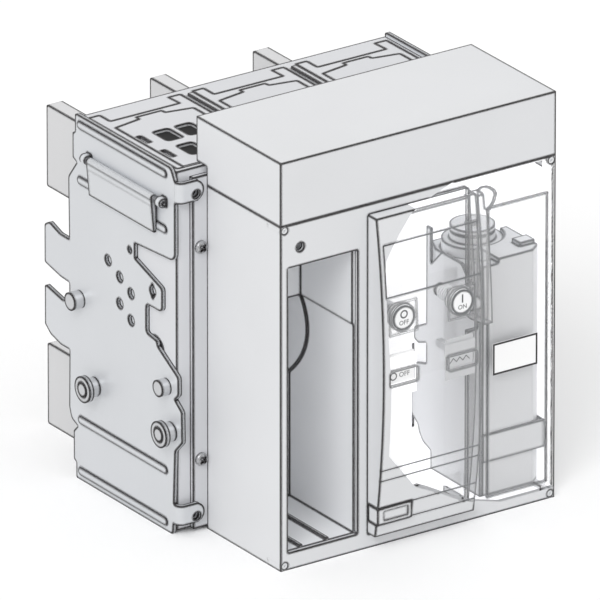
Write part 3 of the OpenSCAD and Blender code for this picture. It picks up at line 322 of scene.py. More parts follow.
@dataclass(frozen=True)
class Finish:
    """One surface finish and how its material is built.

    Attributes:
        name: The material's name.
        slot: The record's slot that it stands for; not used.
        colour: Base colour, sRGB from 0 to 255.
        roughness: Mean roughness.
        metallic: 0 for plastics and paint, 1 for bare metal.
        grain: Direction of the fine relief.
        grain_size: Size of the fine relief, in metres.
        relief: Depth of the fine relief, in metres.
        drift: Share by which the colour drifts over the surface.
        line: Strength of the dark line that the drawing puts along edges.
        line_colour: Colour of that line, sRGB.
        alpha: Less than 1 for a clear moulding.
        glow: Strength of a painted glow in its own colour, painted light though the part is no lamp, which
            stands for the drawing's blank ground.
        black_beyond: X and Z, in millimetres, beyond which grey lines turn black.
        line_depth: Depth, in millimetres, behind which no lines are drawn.
    """

    name: str
    slot: Slot
    colour: Triple
    roughness: float = 0.5
    metallic: float = 0.0
    grain: Grain = Grain.EVEN
    grain_size: float = 0.0012
    relief: float = 0.00003
    drift: float = 0.04
    line: float = 1.0
    line_colour: Triple = INK
    alpha: float = 1.0
    glow: float = 0.0
    black_beyond: Pair | None = None
    line_depth: float | None = None

    def material(self, effects: Effects) -> Material:
        """Build the material.

        Args:
            effects: The shared shader groups.

        Returns:
            The material.
        """
        made = bpy.data.materials.new(self.name)
        made.use_nodes = True
        g = Graph(made.node_tree)
        grain = g.add("ShaderNodeGroup", node_tree=effects.grain,
                      values={"Scale": 1.0 / self.grain_size, "Stretch": self.grain.value})
        edges = g.add("ShaderNodeGroup", node_tree=effects.edges)
        drift = g.math("MULTIPLY_ADD", grain.outputs["Drift"], 2 * self.drift, 1 - self.drift)
        tint = g.add("ShaderNodeVectorMath", {0: rgba(self.colour)[:3], 1: drift}, operation="MULTIPLY")
        strength = g.math("MULTIPLY", edges.outputs["Mask"], self.line)
        line_colour = rgba(self.line_colour)
        if self.black_beyond or self.line_depth is not None:
            spot = g.add("ShaderNodeTexCoord").outputs["Object"]
            spot = g.add("ShaderNodeSeparateXYZ", {0: spot}).outputs
            if self.line_depth is not None:
                front = g.math("LESS_THAN", spot["Y"], at(0, self.line_depth, 0).y)
                strength = g.math("MULTIPLY", strength, front)
            if self.black_beyond:
                corner = at(self.black_beyond[0], 0, self.black_beyond[1])
                beyond = g.math("MAXIMUM", g.math("GREATER_THAN", spot["X"], corner.x),
                                g.math("GREATER_THAN", spot["Z"], corner.z))
                line_colour = g.blend(beyond, line_colour, rgba(INK))
        colour = g.blend(strength, tint.outputs[0], line_colour)
        swing = 0.16
        rough = g.math("MULTIPLY_ADD", grain.outputs["Height"], swing, self.roughness - swing / 2)
        bump = g.add("ShaderNodeBump", {"Height": grain.outputs["Height"], "Distance": self.relief,
                                        "Strength": 1.0})
        # Emission Strength is a painted glow in the finish's own colour: painted light
        values = {"Base Color": colour, "Roughness": rough, "Normal": bump.outputs[0],
                  "Metallic": self.metallic, "Emission Color": rgba(self.colour),
                  "Emission Strength": self.glow}
        if self.alpha < 1:
            values["Alpha"] = g.math("MULTIPLY_ADD", strength, 1 - self.alpha, self.alpha)
        shader = g.add("ShaderNodeBsdfPrincipled", values)
        g.add("ShaderNodeOutputMaterial", {"Surface": shader.outputs[0]})
        return made


FINISHES = (
    Finish("moulded_cover", Slot.MOULDED, (221, 222, 224), roughness=0.46),
    Finish("moulded_case", Slot.MOULDED, (214, 215, 218), roughness=0.55, grain_size=0.0016),
    Finish("moulded_frame", Slot.MOULDED, (208, 209, 212), roughness=0.55),
    # Paler than the cover's paint: painted light that makes up for part of the shade between the bay's
    # walls
    Finish("moulded_bay", Slot.MOULDED, (238, 239, 241)),
    # White parts with a painted glow on top: painted light that lifts the shaded inside of the cover
    Finish("white_screen", Slot.WHITE, (247, 247, 248), roughness=0.6, line=0.0, glow=0.5),
    Finish("mask_grey", Slot.WHITE, (198, 199, 201), roughness=0.6, line=0.0),
    Finish("white_flag", Slot.WHITE, (246, 246, 246), line=0.0),
    Finish("white_button", Slot.WHITE, (248, 248, 249), roughness=0.34, relief=0.00001,
           line_colour=GREY_INK),
    Finish("clear_lever", Slot.WHITE, (250, 250, 251), roughness=0.2, relief=0.000004, alpha=0.15,
           line=0.9, line_colour=GREY_INK),
    Finish("clear_cover", Slot.CLEAR, (250, 250, 251), roughness=0.12, relief=0.000004, alpha=0.04,
           line_colour=GREY_INK, black_beyond=(181.8, 203.0)),
    Finish("clear_fascia", Slot.CLEAR, (250, 250, 251), roughness=0.12, relief=0.000004, alpha=0.03,
           line=0.9, line_colour=GREY_INK, line_depth=0.0),
    Finish("clear_lens", Slot.CLEAR, (250, 250, 251), roughness=0.08, relief=0.000002, alpha=0.04,
           line=0.0),
    Finish("zinc_sheet", Slot.SHEET, (214, 216, 219), roughness=0.42, metallic=0.35,
           grain=Grain.ALONG_Z, grain_size=0.0008, relief=0.00001),
    Finish("turned_steel", Slot.BRIGHT, (206, 207, 209), roughness=0.32, metallic=0.75,
           grain=Grain.ALONG_X, grain_size=0.0006, relief=0.000008),
    Finish("motor_paint", Slot.MOTOR, (212, 213, 215), line_colour=GREY_INK),
    Finish("screw_steel", Slot.BRIGHT, (228, 229, 231), roughness=0.4, metallic=0.5, line=0.0),
    Finish("pale_steel", Slot.BRIGHT, (214, 215, 217), roughness=0.45, metallic=0.3,
           line_colour=GREY_INK),
    Finish("silvered_blade", Slot.BLADE, (216, 216, 217), roughness=0.38, metallic=0.45,
           grain=Grain.ALONG_Y, grain_size=0.0007, relief=0.00001),
    Finish("bare_copper", Slot.COPPER, (196, 132, 104), roughness=0.36, metallic=0.9,
           grain=Grain.ALONG_Z, grain_size=0.0007, relief=0.00001, line=0.3),
    Finish("dark_moulded", Slot.DARK, (66, 67, 70), roughness=0.55, line=0.2),
    Finish("blank_label", Slot.LABEL, (252, 252, 252), roughness=0.55, line=0.0, relief=0.000006),
    Finish("printed_mark", Slot.DARK, (84, 85, 87), line=0.0),
    Finish("printed_border", Slot.DARK, INK, line=0.0),
    # Seam strips: painted shade of the fascia's grooves, grey where the clear part covers them
    Finish("seam_grey", Slot.DARK, (112, 114, 116), roughness=0.8, line=0.0),
    Finish("seam_shade", Slot.DARK, (40, 39, 41), roughness=0.8, line=0.0),
    # Near-black floors of the vents: painted shade of their depth
    Finish("vent_dark", Slot.DARK, (10, 10, 11), roughness=0.8, line=0.0),
    Finish("plated_wire", Slot.SPRING, (226, 227, 229), metallic=0.2, line=0.0),
    Finish("spring_wire", Slot.SPRING, (128, 129, 132), roughness=0.35, metallic=0.8, line=0.0),
)


class Workshop:
    """Holds the finishes and puts finished meshes on their bodies."""

    def __init__(self, frame: dict) -> None:
        """Build every material.
        """
        self.frame = frame
        effects = Effects()
        self.finishes = {f.name: f for f in FINISHES}
        self.materials = {f.name: f.material(effects) for f in FINISHES}

    def dress(self, finish: str, starts: tuple[str, ...]) -> None:
        """Give CAD nodes a finish.

        Args:
            finish: The finish's name.
            starts: What the nodes' names start with.
        """
        for name, node in self.frame["nodes"].items():
            if name.startswith(starts):
                node.data.materials.clear()
                node.data.materials.append(self.materials[finish])

    def settle(self, name: str, mesh: Mesh, finish: str, *replaces: str, body: str = "breaker") -> Object:
        """Link a finished mesh as a piece of the object.

        Args:
            name: The piece's name.
            mesh: Its mesh, already in place in the row frame.
            finish: The finish's name.
            replaces: The CAD nodes that it stands for.
            body: The CAD body that it moves with.

        Returns:
            The piece.
        """
        mesh.materials.clear()
        mesh.materials.append(self.materials[finish])
        piece = linked(name, mesh)
        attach(piece, body)
        if replaces:
            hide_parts(*replaces)
        LOG.info("%s: %d faces on %s", name, len(mesh.polygons), body)
        return piece


def mesh_of(name: str, build: Callable[[BMesh], None]) -> Mesh:
    """Make a mesh with bmesh and turn its faces outwards.

    Args:
        name: The mesh's name.
        build: Fills the bmesh.

    Returns:
        The mesh.
    """
    bm = bmesh.new()
    build(bm)
    bmesh.ops.remove_doubles(bm, verts=bm.verts, dist=1e-7)
    bmesh.ops.recalc_face_normals(bm, faces=bm.faces)
    mesh = bpy.data.meshes.new(name)
    bm.to_mesh(mesh)
    bm.free()
    return mesh


def baked(source: Object, name: str) -> Mesh:
    """Turn an object with live modifiers into a plain mesh and remove the object.

    Args:
        source: The object to evaluate.
        name: The new mesh's name.

    Returns:
        The plain mesh.
    """
    graph = bpy.context.evaluated_depsgraph_get()
    mesh = bpy.data.meshes.new_from_object(source.evaluated_get(graph))
    mesh.name = name
    bpy.data.objects.remove(source)
    return mesh


class PartTree:
    """Builds a geometry nodes tree with named inputs and runs it once."""

    def __init__(self, name: str, inputs: dict[str, object]) -> None:
        """Start the tree.

        Args:
            name: The tree's name.
            inputs: Socket name to its default value or type.
        """
        geometry = "NodeSocketGeometry"
        self.graph = start_group(name, "GeometryNodeTree", {
            "Geometry": geometry, **inputs, "Material": "NodeSocketMaterial"}, {"Geometry": geometry})
        self.inlet = self.graph.add("NodeGroupInput").outputs

    def close(self, geometry: NodeSocket) -> None:
        """End the tree in Realize Instances and Set Material.

        Args:
            geometry: The geometry to hand out.
        """
        real = self.graph.add("GeometryNodeRealizeInstances", {0: geometry})
        shown = self.graph.add("GeometryNodeSetMaterial",
                               {"Geometry": real.outputs[0], "Material": self.inlet["Material"]})
        self.graph.add("NodeGroupOutput", {0: shown.outputs[0]})

    def run(self, name: str, carrier: Mesh, material: Material, **values: object) -> Mesh:
        """Run the tree on a carrier mesh.

        Args:
            name: The result's name.
            carrier: The mesh that the tree starts from.
            material: The material that it sets.
            values: Input values by name, with _ for a space.

        Returns:
            The plain mesh.
        """
        source = linked(name, carrier)
        modifier = source.modifiers.new("tree", "NODES")
        modifier.node_group = self.graph.tree
        wanted = {"Material": material, **values}
        for socket in self.graph.tree.interface.items_tree:
            key = socket.name.replace(" ", "_")
            if socket.in_out == "INPUT" and key in wanted:
                modifier[socket.identifier] = wanted[key]
        source.update_tag()
        bpy.context.view_layer.update()
        return baked(source, name)


class SpringTree(PartTree):
    """A coil spring of even pitch, wound about Z from the origin up, its wire's ends filled."""

    def __init__(self) -> None:
        """Build the tree from a spiral and a round wire."""
        super().__init__("coil_spring", {"Radius": 0.005, "Wire": 0.0005, "Height": 0.02, "Turns": 8.0,
                                         "Turn Steps": 28, "Wire Sides": 10})
        g, inlet = self.graph, self.inlet
        rise = g.math("SUBTRACT", inlet["Height"], g.math("MULTIPLY", inlet["Wire"], 2.0))
        spiral = g.add("GeometryNodeCurveSpiral", {
            "Resolution": inlet["Turn Steps"], "Rotations": inlet["Turns"], "Start Radius": inlet["Radius"],
            "End Radius": inlet["Radius"], "Height": rise})
        wire = g.add("GeometryNodeCurvePrimitiveCircle",
                     {"Resolution": inlet["Wire Sides"], "Radius": inlet["Wire"]})
        tube = g.add("GeometryNodeCurveToMesh",
                     {"Curve": spiral.outputs[0], "Profile Curve": wire.outputs[0], "Fill Caps": True})
        lift = g.add("ShaderNodeCombineXYZ", {"Z": inlet["Wire"]})
        placed = g.add("GeometryNodeTransform",
                       {"Geometry": tube.outputs[0], "Translation": lift.outputs[0]})
        smooth = g.add("GeometryNodeSetShadeSmooth", {0: placed.outputs[0]})
        self.close(smooth.outputs[0])


class ScatterTree(PartTree):
    """Copies one piece onto each point of its carrier mesh."""

    def __init__(self) -> None:
        """Build the tree from Instance on Points."""
        super().__init__("scatter_on_points", {"Piece": "NodeSocketObject", "Size": 1.0})
        g, inlet = self.graph, self.inlet
        piece = g.add("GeometryNodeObjectInfo", {"Object": inlet["Piece"]})
        copies = g.add("GeometryNodeInstanceOnPoints",
                       {"Points": inlet["Geometry"], "Instance": piece.outputs["Geometry"]})
        scaled = g.add("GeometryNodeScaleInstances",
                       {"Instances": copies.outputs[0], "Scale": inlet["Size"]})
        self.close(scaled.outputs[0])


def point_mesh(name: str, points: Iterable[Vector]) -> Mesh:
    """Make a mesh of loose points.

    Args:
        name: The mesh's name.
        points: The points, in the row frame.

    Returns:
        The mesh.
    """
    mesh = bpy.data.meshes.new(name)
    mesh.from_pydata([tuple(p) for p in points], [], [])
    return mesh


# Sub-assemblies


@dataclass
class Springs:
    """The coil springs, which stand for the plainer ones of the frame.

    Attributes:
        button_span: Where a button spring starts and ends behind the face.
        button_coil: Its mean radius, its wire's radius and its turns.
        button_travel: How far a button squeezes it; not used.
        plunger: Axis of the closing spring, X and Y.
        plunger_span: Lower and upper end of the closing spring.
        plunger_coil: Its mean radius, its wire's radius and its turns.
        plunger_travel: How far the plunger squeezes it, with a little room; not used.
    """

    button_span: Pair = (-7.6, 4.7)
    button_coil: Triple = (4.3, 0.45, 6.0)
    button_travel: float = 4.0
    plunger: Pair = (89.5, 59.0)
    plunger_span: Pair = (98.6, 157.7)
    plunger_coil: Triple = (7.0, 1.4, 8.0)
    plunger_travel: float = 8.1

    def build(self, shop: Workshop) -> None:
        """Make every spring.

        Args:
            shop: Settles the pieces.
        """
        tree = SpringTree()
        steel = shop.materials["spring_wire"]
        blank = bpy.data.meshes.new("blank")

        def wind(name: str, span: Pair, coil: Triple) -> Mesh:
            """Wind a spring about Z from the origin up.

            Args:
                name: The mesh's name.
                span: Where the spring starts and ends along its joint.
                coil: Its mean radius, the wire's radius and the number of turns.

            Returns:
                The spring.
            """
            radius, wire, turns = coil
            return tree.run(name, blank, steel, Radius=radius * MM, Wire=wire * MM,
                            Height=(span[1] - span[0]) * MM, Turns=turns)

        start, end = self.button_span
        for side, x in zip(("off", "on"), BUTTON_X):
            mesh = wind(f"{side}_button_coil", self.button_span, self.button_coil)
            mesh.transform(Matrix.Translation(at(x, start, BUTTON_Z))
                           @ Matrix.Rotation(-math.pi / 2, 4, "X"))
            piece = shop.settle(f"{side}_button_spring", mesh, "plated_wire", "button_springs")
            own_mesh(piece)
        low, high = self.plunger_span
        mesh = wind("closing_coil", self.plunger_span, self.plunger_coil)
        mesh.transform(Matrix.Translation(at(*self.plunger, low)))
        piece = shop.settle("closing_coil_spring", mesh, "spring_wire", "closing_spring")
        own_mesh(piece)


@dataclass
class CoverHardware:
    """Screws of the cover and of the frame behind it.

    Attributes:
        inset: Distance of the corner screws from the cover's edges.
        corner_profile: Radius and distance to the front of a corner screw's rings.
        corner_cross: Length, width and depth of its recess.
        frame_screw: X, Y and the two heights of the frame's screws.
        pan_shank: Radius of a frame screw's shank, with its two ends.
        pan_r: Radius of its head.
        pan_dome: Share of that radius and distance to the front of the head's rings.
        pan_cross: Length, width and depth of its recess.
    """

    inset: float = 2.85
    corner_profile: Outline = ((1.35, -11.0), (1.35, -2.0), (1.8, -1.2), (1.8, -0.35), (1.5, -0.2))
    corner_cross: Triple = (2.6, 0.5, 0.9)
    frame_screw: tuple[float, float, Pair] = (-4.25, 73.0, (43.7, 172.3))
    pan_shank: Triple = (2.4, -9.0, 0.02)
    pan_r: float = 3.9
    pan_dome: Outline = ((1.0, 0.02), (1.0, 0.9), (0.96, 1.5), (0.86, 2.1), (0.66, 2.65), (0.4, 2.95),
                         (0.15, 3.08))
    pan_cross: Triple = (5.4, 1.1, 1.7)

    @staticmethod
    def _lathe(bm: BMesh, profile: Outline, steps: int = 32) -> None:
        """Spin a profile about Y, with the head towards the front.

        Args:
            bm: The bmesh to add to.
            profile: Radius and distance to the front, in millimetres.
            steps: Number of steps in a turn.
        """
        turns = [2 * math.pi * i / steps for i in range(steps)]
        rings = [[bm.verts.new((r * MM * math.cos(t), -h * MM, r * MM * math.sin(t))) for t in turns]
                 for r, h in profile]
        for low, high in zip(rings, rings[1:]):
            for i in range(steps):
                k = (i + 1) % steps
                bm.faces.new((low[i], low[k], high[k], high[i]))
        bm.faces.new(rings[0])
        bm.faces.new(rings[-1])

    @staticmethod
    def _wedge(bm: BMesh, cross: Triple, top: float, angle: float) -> None:
        """Add the tapered cutter of two opposite arms of a recess.

        Args:
            bm: The bmesh to add to.
            cross: Length, width and depth of the recess.
            top: Distance of the head's top to the front.
            angle: Turn about Y, in radians.
        """
        arm, width, depth = cross
        floor_step, floor_share, above = 0.7, 0.7, 0.5
        tip, side = (arm / 2, arm / 2 - floor_step), (width / 2, width / 2 * floor_share)
        corners = []
        for level, h in enumerate((top + above, top - depth)):
            for sx, sz in SQUARE:
                corner = Vector((sx * tip[level] * MM, -h * MM, sz * side[level] * MM))
                corners.append(bm.verts.new(Matrix.Rotation(angle, 3, "Y") @ corner))
        for quad in ((0, 1, 2, 3), (4, 5, 6, 7), (0, 1, 5, 4), (1, 2, 6, 5), (2, 3, 7, 6), (3, 0, 4, 7)):
            bm.faces.new([corners[i] for i in quad])

    def _cross_head(self, name: str, profile: Outline, cross: Triple) -> Object:
        """Make a screw with a cross recess.

        Args:
            name: The screw's name.
            profile: Radius and distance to the front of its rings.
            cross: Length, width and depth of the recess.

        Returns:
            An object that the scatter tree copies.
        """
        top = max(h for _, h in profile)
        head = linked(name, mesh_of(name, lambda bm: self._lathe(bm, profile)))
        cutters = []
        for turn in (45, 135):
            wedge = mesh_of("cutter", lambda bm, turn=turn: self._wedge(bm, cross, top, math.radians(turn)))
            cutters.append(linked("cutter", wedge))
            cut = head.modifiers.new("cut", "BOOLEAN")
            cut.operation = "DIFFERENCE"
            cut.solver = "EXACT"
            cut.object = cutters[-1]
        bpy.context.view_layer.update()
        mesh = baked(head, name)
        for cutter in cutters:
            bpy.data.objects.remove(cutter)
        return linked(name, mesh)

    def build(self, shop: Workshop) -> None:
        """Scatter both kinds of screws.

        Args:
            shop: Settles the pieces.
        """
        tree = ScatterTree()
        steel = shop.materials["turned_steel"]
        corners = [at(x, 0.0, z) for x in (self.inset, COVER_W - self.inset)
                   for z in (self.inset, COVER_H - self.inset)]
        small = self._cross_head("corner_head", self.corner_profile, self.corner_cross)
        mesh = tree.run("corner_screws", point_mesh("corners", corners), steel, Piece=small)
        shop.settle("cover_corner_screws", mesh, "screw_steel", "cover_screws")
        shank_r, *shank = self.pan_shank
        profile = [(shank_r, h) for h in shank] + [(self.pan_r * share, h) for share, h in self.pan_dome]
        pan = self._cross_head("pan_head", profile, self.pan_cross)
        x, y, heights = self.frame_screw
        points = point_mesh("frame_points", [at(x, y, z) for z in heights])
        mesh = tree.run("pan_screws", points, steel, Piece=pan)
        shop.settle("frame_pan_screws", mesh, "turned_steel", "frame_screws")
        bpy.data.objects.remove(small)
        bpy.data.objects.remove(pan)


@dataclass
class Marks:
    """Marks on the buttons and flags, masks round the flags' windows, and the label's border.

    Attributes:
        raise_by: How far a mark stands proud.
        cap_y: Depth of the buttons' faces.
        letters: Letter size on the buttons and on the position flag.
        ring: Outer and inner radius of the off button's ring.
        bar: Width and height of the on button's bar.
        flag_x: Middle of the position flag's symbols and of its words.
        flag_z: Height of a flag's first and of its second mark.
        flag_ring: Outer and inner radius of the flag's ring.
        flag_bar: Width and height of the flag's bar.
        spring: Width of the relaxed and of the charged spring's symbol.
        masks: Flag, middle, height and finish of the mask round each window.
        mask_w: Width of a mask.
        mask_hole: Width and height of the hole in it.
        label: The label's left, lower, right and upper edge.
        label_y: Depth of its face.
        border: Width of the border.
    """

    raise_by: float = 0.08
    cap_y: float = -14.9
    letters: Pair = (3.8, 4.2)
    ring: Pair = (2.5, 1.7)
    bar: Pair = (0.9, 5.0)
    flag_x: Pair = (68.2, 75.6)
    flag_z: Pair = (106, 115)
    flag_ring: Pair = (2.4, 1.7)
    flag_bar: Pair = (0.8, 5.2)
    spring: Pair = (13.0, 7.5)
    # The position flag's mask takes the white with a painted glow: painted light
    masks: tuple[tuple[str, float, float, str], ...] = (
        ("position", 73.2, 24.0, "white_screen"), ("spring", 113.0, 21.6, "mask_grey"))
    mask_w: float = 20.4
    mask_hole: Pair = (18.7, 8.3)
    label: tuple[float, float, float, float] = (143.1, 84.5, 173.4, 103.6)
    label_y: float = -0.4
    border: float = 1.15

    def _raised(self, loops: Sequence[Outline], y: float) -> Mesh:
        """Raise an outline, or the band between two with as many points each, towards the front.

        Args:
            loops: The outlines in X and Z, in millimetres.
            y: Depth of the face that the mark stands on.

        Returns:
            The mark.
        """
        def fill(bm: BMesh) -> None:
            """Add the rims, and the back and the front.

            Args:
                bm: The mesh to add to.
            """
            back, front = ([[bm.verts.new(at(x, depth, z)) for x, z in loop] for loop in loops]
                           for depth in (y, y - self.raise_by))
            strips = list(zip(back, front))
            if len(loops) == 1:
                bm.faces.new(front[0])
                bm.faces.new(back[0])
            else:
                strips += [back, front]
            n = len(loops[0])
            for i in range(n):
                k = (i + 1) % n
                for a, b in strips:
                    bm.faces.new((a[i], a[k], b[k], b[i]))
        return mesh_of("raised", fill)

    @staticmethod
    def _circle(x: float, z: float, r: float, n: int = 40) -> list[Pair]:
        """Points of a circle in X and Z."""
        return [(x + r * math.cos(2 * math.pi * i / n), z + r * math.sin(2 * math.pi * i / n))
                for i in range(n)]

    @staticmethod
    def _oblong(x: float, z: float, w: float, h: float) -> list[Pair]:
        """Corners of a rectangle about its middle."""
        return [(x + sx * w / 2, z + sz * h / 2) for sx, sz in SQUARE]

    def _word(self, text: str, x: float, z: float, size: float, y: float) -> Mesh:
        """Make a short generic word as a raised mesh, centred on a point.

        Args:
            text: The word.
            x: Middle of the word.
            z: Height of its middle.
            size: Letter size in millimetres.
            y: Depth of the face that it stands on.

        Returns:
            The mesh, in place.
        """
        curve = bpy.data.curves.new(text, "FONT")
        curve.body = text
        curve.size = size * MM
        curve.align_x = "CENTER"
        curve.align_y = "CENTER"
        curve.extrude = self.raise_by / 2 * MM
        curve.resolution_u = 3
        source = linked(text, curve)
        bpy.context.view_layer.update()
        mesh = baked(source, text)
        mesh.transform(Matrix.Translation(at(x, y - self.raise_by / 2, z))
                       @ Matrix.Rotation(math.pi / 2, 4, "X"))
        return mesh

    def _zigzag(self, z: float, length: float, y: float) -> list[Mesh]:
        """Draw the usual symbol of a spring.

        Args:
            z: Height of its middle.
            length: Its length.
            y: Depth of the face that it stands on.

        Returns:
            Its bars, in place.
        """
        teeth, middle, rise, line = 6, 113.0, 1.2, 0.5
        knots = [Vector((middle - length / 2 + length * i / teeth, z + (rise if i % 2 else -rise)))
                 for i in range(teeth + 1)]
        bars = []
        for a, b in zip(knots, knots[1:]):
            along = (b - a).normalized() * line / 2
            side = Vector((-along.y, along.x))
            bar = (a - along + side, a - along - side, b + along - side, b + along + side)
            bars.append(self._raised([bar], y))
        return bars

    @staticmethod
    def _print(shop: Workshop, name: str, body: str, meshes: Sequence[Mesh]) -> None:
        """Join meshes into one printed piece.

        Args:
            shop: Settles the pieces.
            name: The piece's name.
            body: The body that it moves with.
            meshes: The meshes, in place.
        """
        bm = bmesh.new()
        for mesh in meshes:
            bm.from_mesh(mesh)
        joined = bpy.data.meshes.new(name)
        bm.to_mesh(joined)
        bm.free()
        shop.settle(name, joined, "printed_mark", body=body)

    def build(self, shop: Workshop) -> None:
        """Make every mark, the label's border and the masks.

        Args:
            shop: Settles the pieces.
        """
        small, large = self.letters
        symbol_rise, word_drop, label_rim, mask_gap = 2.2, 2.9, 0.1, 0.4
        high, low = BUTTON_Z + symbol_rise, BUTTON_Z - word_drop
        symbols = ([self._circle(BUTTON_X[0], high, r) for r in self.ring],
                   [self._oblong(BUTTON_X[1], high, *self.bar)])
        for side, x, symbol in zip(("off", "on"), BUTTON_X, symbols):
            word = self._word(side.upper(), x, low, small, self.cap_y)
            self._print(shop, f"{side}_mark", f"{side}_button", [self._raised(symbol, self.cap_y), word])

        x0, z0, x1, z1 = self.label
        loops = [self._oblong((x0 + x1) / 2, (z0 + z1) / 2, x1 - x0 - less, z1 - z0 - less)
                 for less in (label_rim, 2 * self.border)]
        shop.settle("label_border", self._raised(loops, self.label_y), "printed_border")

        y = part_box("position_flag")[0].y / MM + MID_Y
        symbol_x, word_x = self.flag_x
        off_z, on_z = self.flag_z
        self._print(shop, "position_marks", "position_flag", [
            self._raised([self._circle(symbol_x, off_z, r) for r in self.flag_ring], y),
            self._raised([self._oblong(symbol_x, on_z, *self.flag_bar)], y),
            self._word("OFF", word_x, off_z, large, y), self._word("ON", word_x, on_z, large, y)])
        self._print(shop, "spring_marks", "spring_flag", [
            bar for z, length in zip(self.flag_z, self.spring) for bar in self._zigzag(z, length, y)])
        for flag, x, height, finish in self.masks:
            loops = [self._oblong(x, off_z, *size) for size in ((self.mask_w, height), self.mask_hole)]
            shop.settle(f"{flag}_window_mask", self._raised(loops, y - mask_gap), finish)


@dataclass
class SeamlessShells:
    """Cover and fascia without the faces along which their clear parts join them.

    Attributes:
        cover_cut: The joint on the cover's face, in X and Z.
        fascia_cut: The joint on the fascia's face.
        near: How far a corner may lie from where it should.
    """

    cover_cut: Outline = ((116, COVER_H), (100, 202.4), (100, 100), (122, 13.6), (148.7, 6.2),
                          (COVER_W, 6.2))
    fascia_cut: Outline = ((86, 230), *FASCIA_JOINT, (150, 14))
    near: float = 0.03

    def _on_cut(self, face: BMFace, cut: Outline) -> bool:
        """Tell whether a face lies on one stretch of a joint.

        Args:
            face: The face, in the row frame.
            cut: The joint's corners, in millimetres.

        Returns:
            True if all its corners lie on the stretch.
        """
        steepest, past = 0.05, 0.1
        if abs(face.normal.y) > steepest:
            return False
        spots = [Vector((v.co.x / MM + PLATE_MID_X, v.co.z / MM)) for v in face.verts]
        for a, b in zip(cut, cut[1:]):
            start, along = Vector(a), Vector(b) - Vector(a)
            length = along.length
            along.normalize()
            if all(abs(along.x * (p - start).y - along.y * (p - start).x) < self.near
                   and -past < (p - start).dot(along) < length + past for p in spots):
                return True
        return False

    def _rim(self, face: BMFace) -> bool:
        """Tell whether a face lines the right wall, or ends the walls behind the clear part.

        Args:
            face: The face, in the row frame.

        Returns:
            True if it does.
        """
        square, wall, clear_x = -0.9, 3.0, 99.0
        spots = [v.co / MM + Vector((PLATE_MID_X, MID_Y, 0)) for v in face.verts]
        if face.normal.x < square:
            return all(abs(p.x - (COVER_W - wall)) < self.near for p in spots)
        return face.normal.y < square and all(abs(p.y - wall) < self.near and p.x > clear_x for p in spots)

    @staticmethod
    def _copy(node: Object, name: str, keep: Callable[[BMFace], bool]) -> Mesh:
        """Copy some faces of a CAD node.

        Args:
            node: The node.
            name: The copy's name.
            keep: Tells which faces stay.

        Returns:
            The copy.
        """
        mesh = node.data.copy()
        mesh.name = name
        mesh.transform(node.matrix_world)
        bm = bmesh.new()
        bm.from_mesh(mesh)
        bm.normal_update()
        dropped = [f for f in bm.faces if not keep(f)]
        bmesh.ops.delete(bm, geom=dropped, context="FACES")
        bm.to_mesh(mesh)
        bm.free()
        LOG.info("%s: %d faces left out", name, len(dropped))
        return mesh

    def build(self, shop: Workshop) -> None:
        """Put the copies in the place of the four nodes.

        Args:
            shop: Settles the pieces.
        """
        nodes = shop.frame["nodes"]
        cover = self._copy(nodes["front_cover"], "cover_shell",
                           lambda f: not self._on_cut(f, self.cover_cut) and not self._rim(f))
        shop.settle("cover_shell", cover, "moulded_cover", "front_cover")
        # The rim faces take the white with a painted glow: painted light on the cover's inner faces seen
        # through the clear part
        rim = self._copy(nodes["front_cover"], "cover_rim", self._rim)
        shop.settle("cover_rim", rim, "white_screen")
        for name, finish, cut in (("cover_window", "clear_cover", self.cover_cut),
                                  ("fascia", "moulded_cover", self.fascia_cut),
                                  ("fascia_window", "clear_fascia", self.fascia_cut)):
            mesh = self._copy(nodes[name], f"{name}_shell", lambda f, cut=cut: not self._on_cut(f, cut))
            shop.settle(f"{name}_shell", mesh, finish, name)


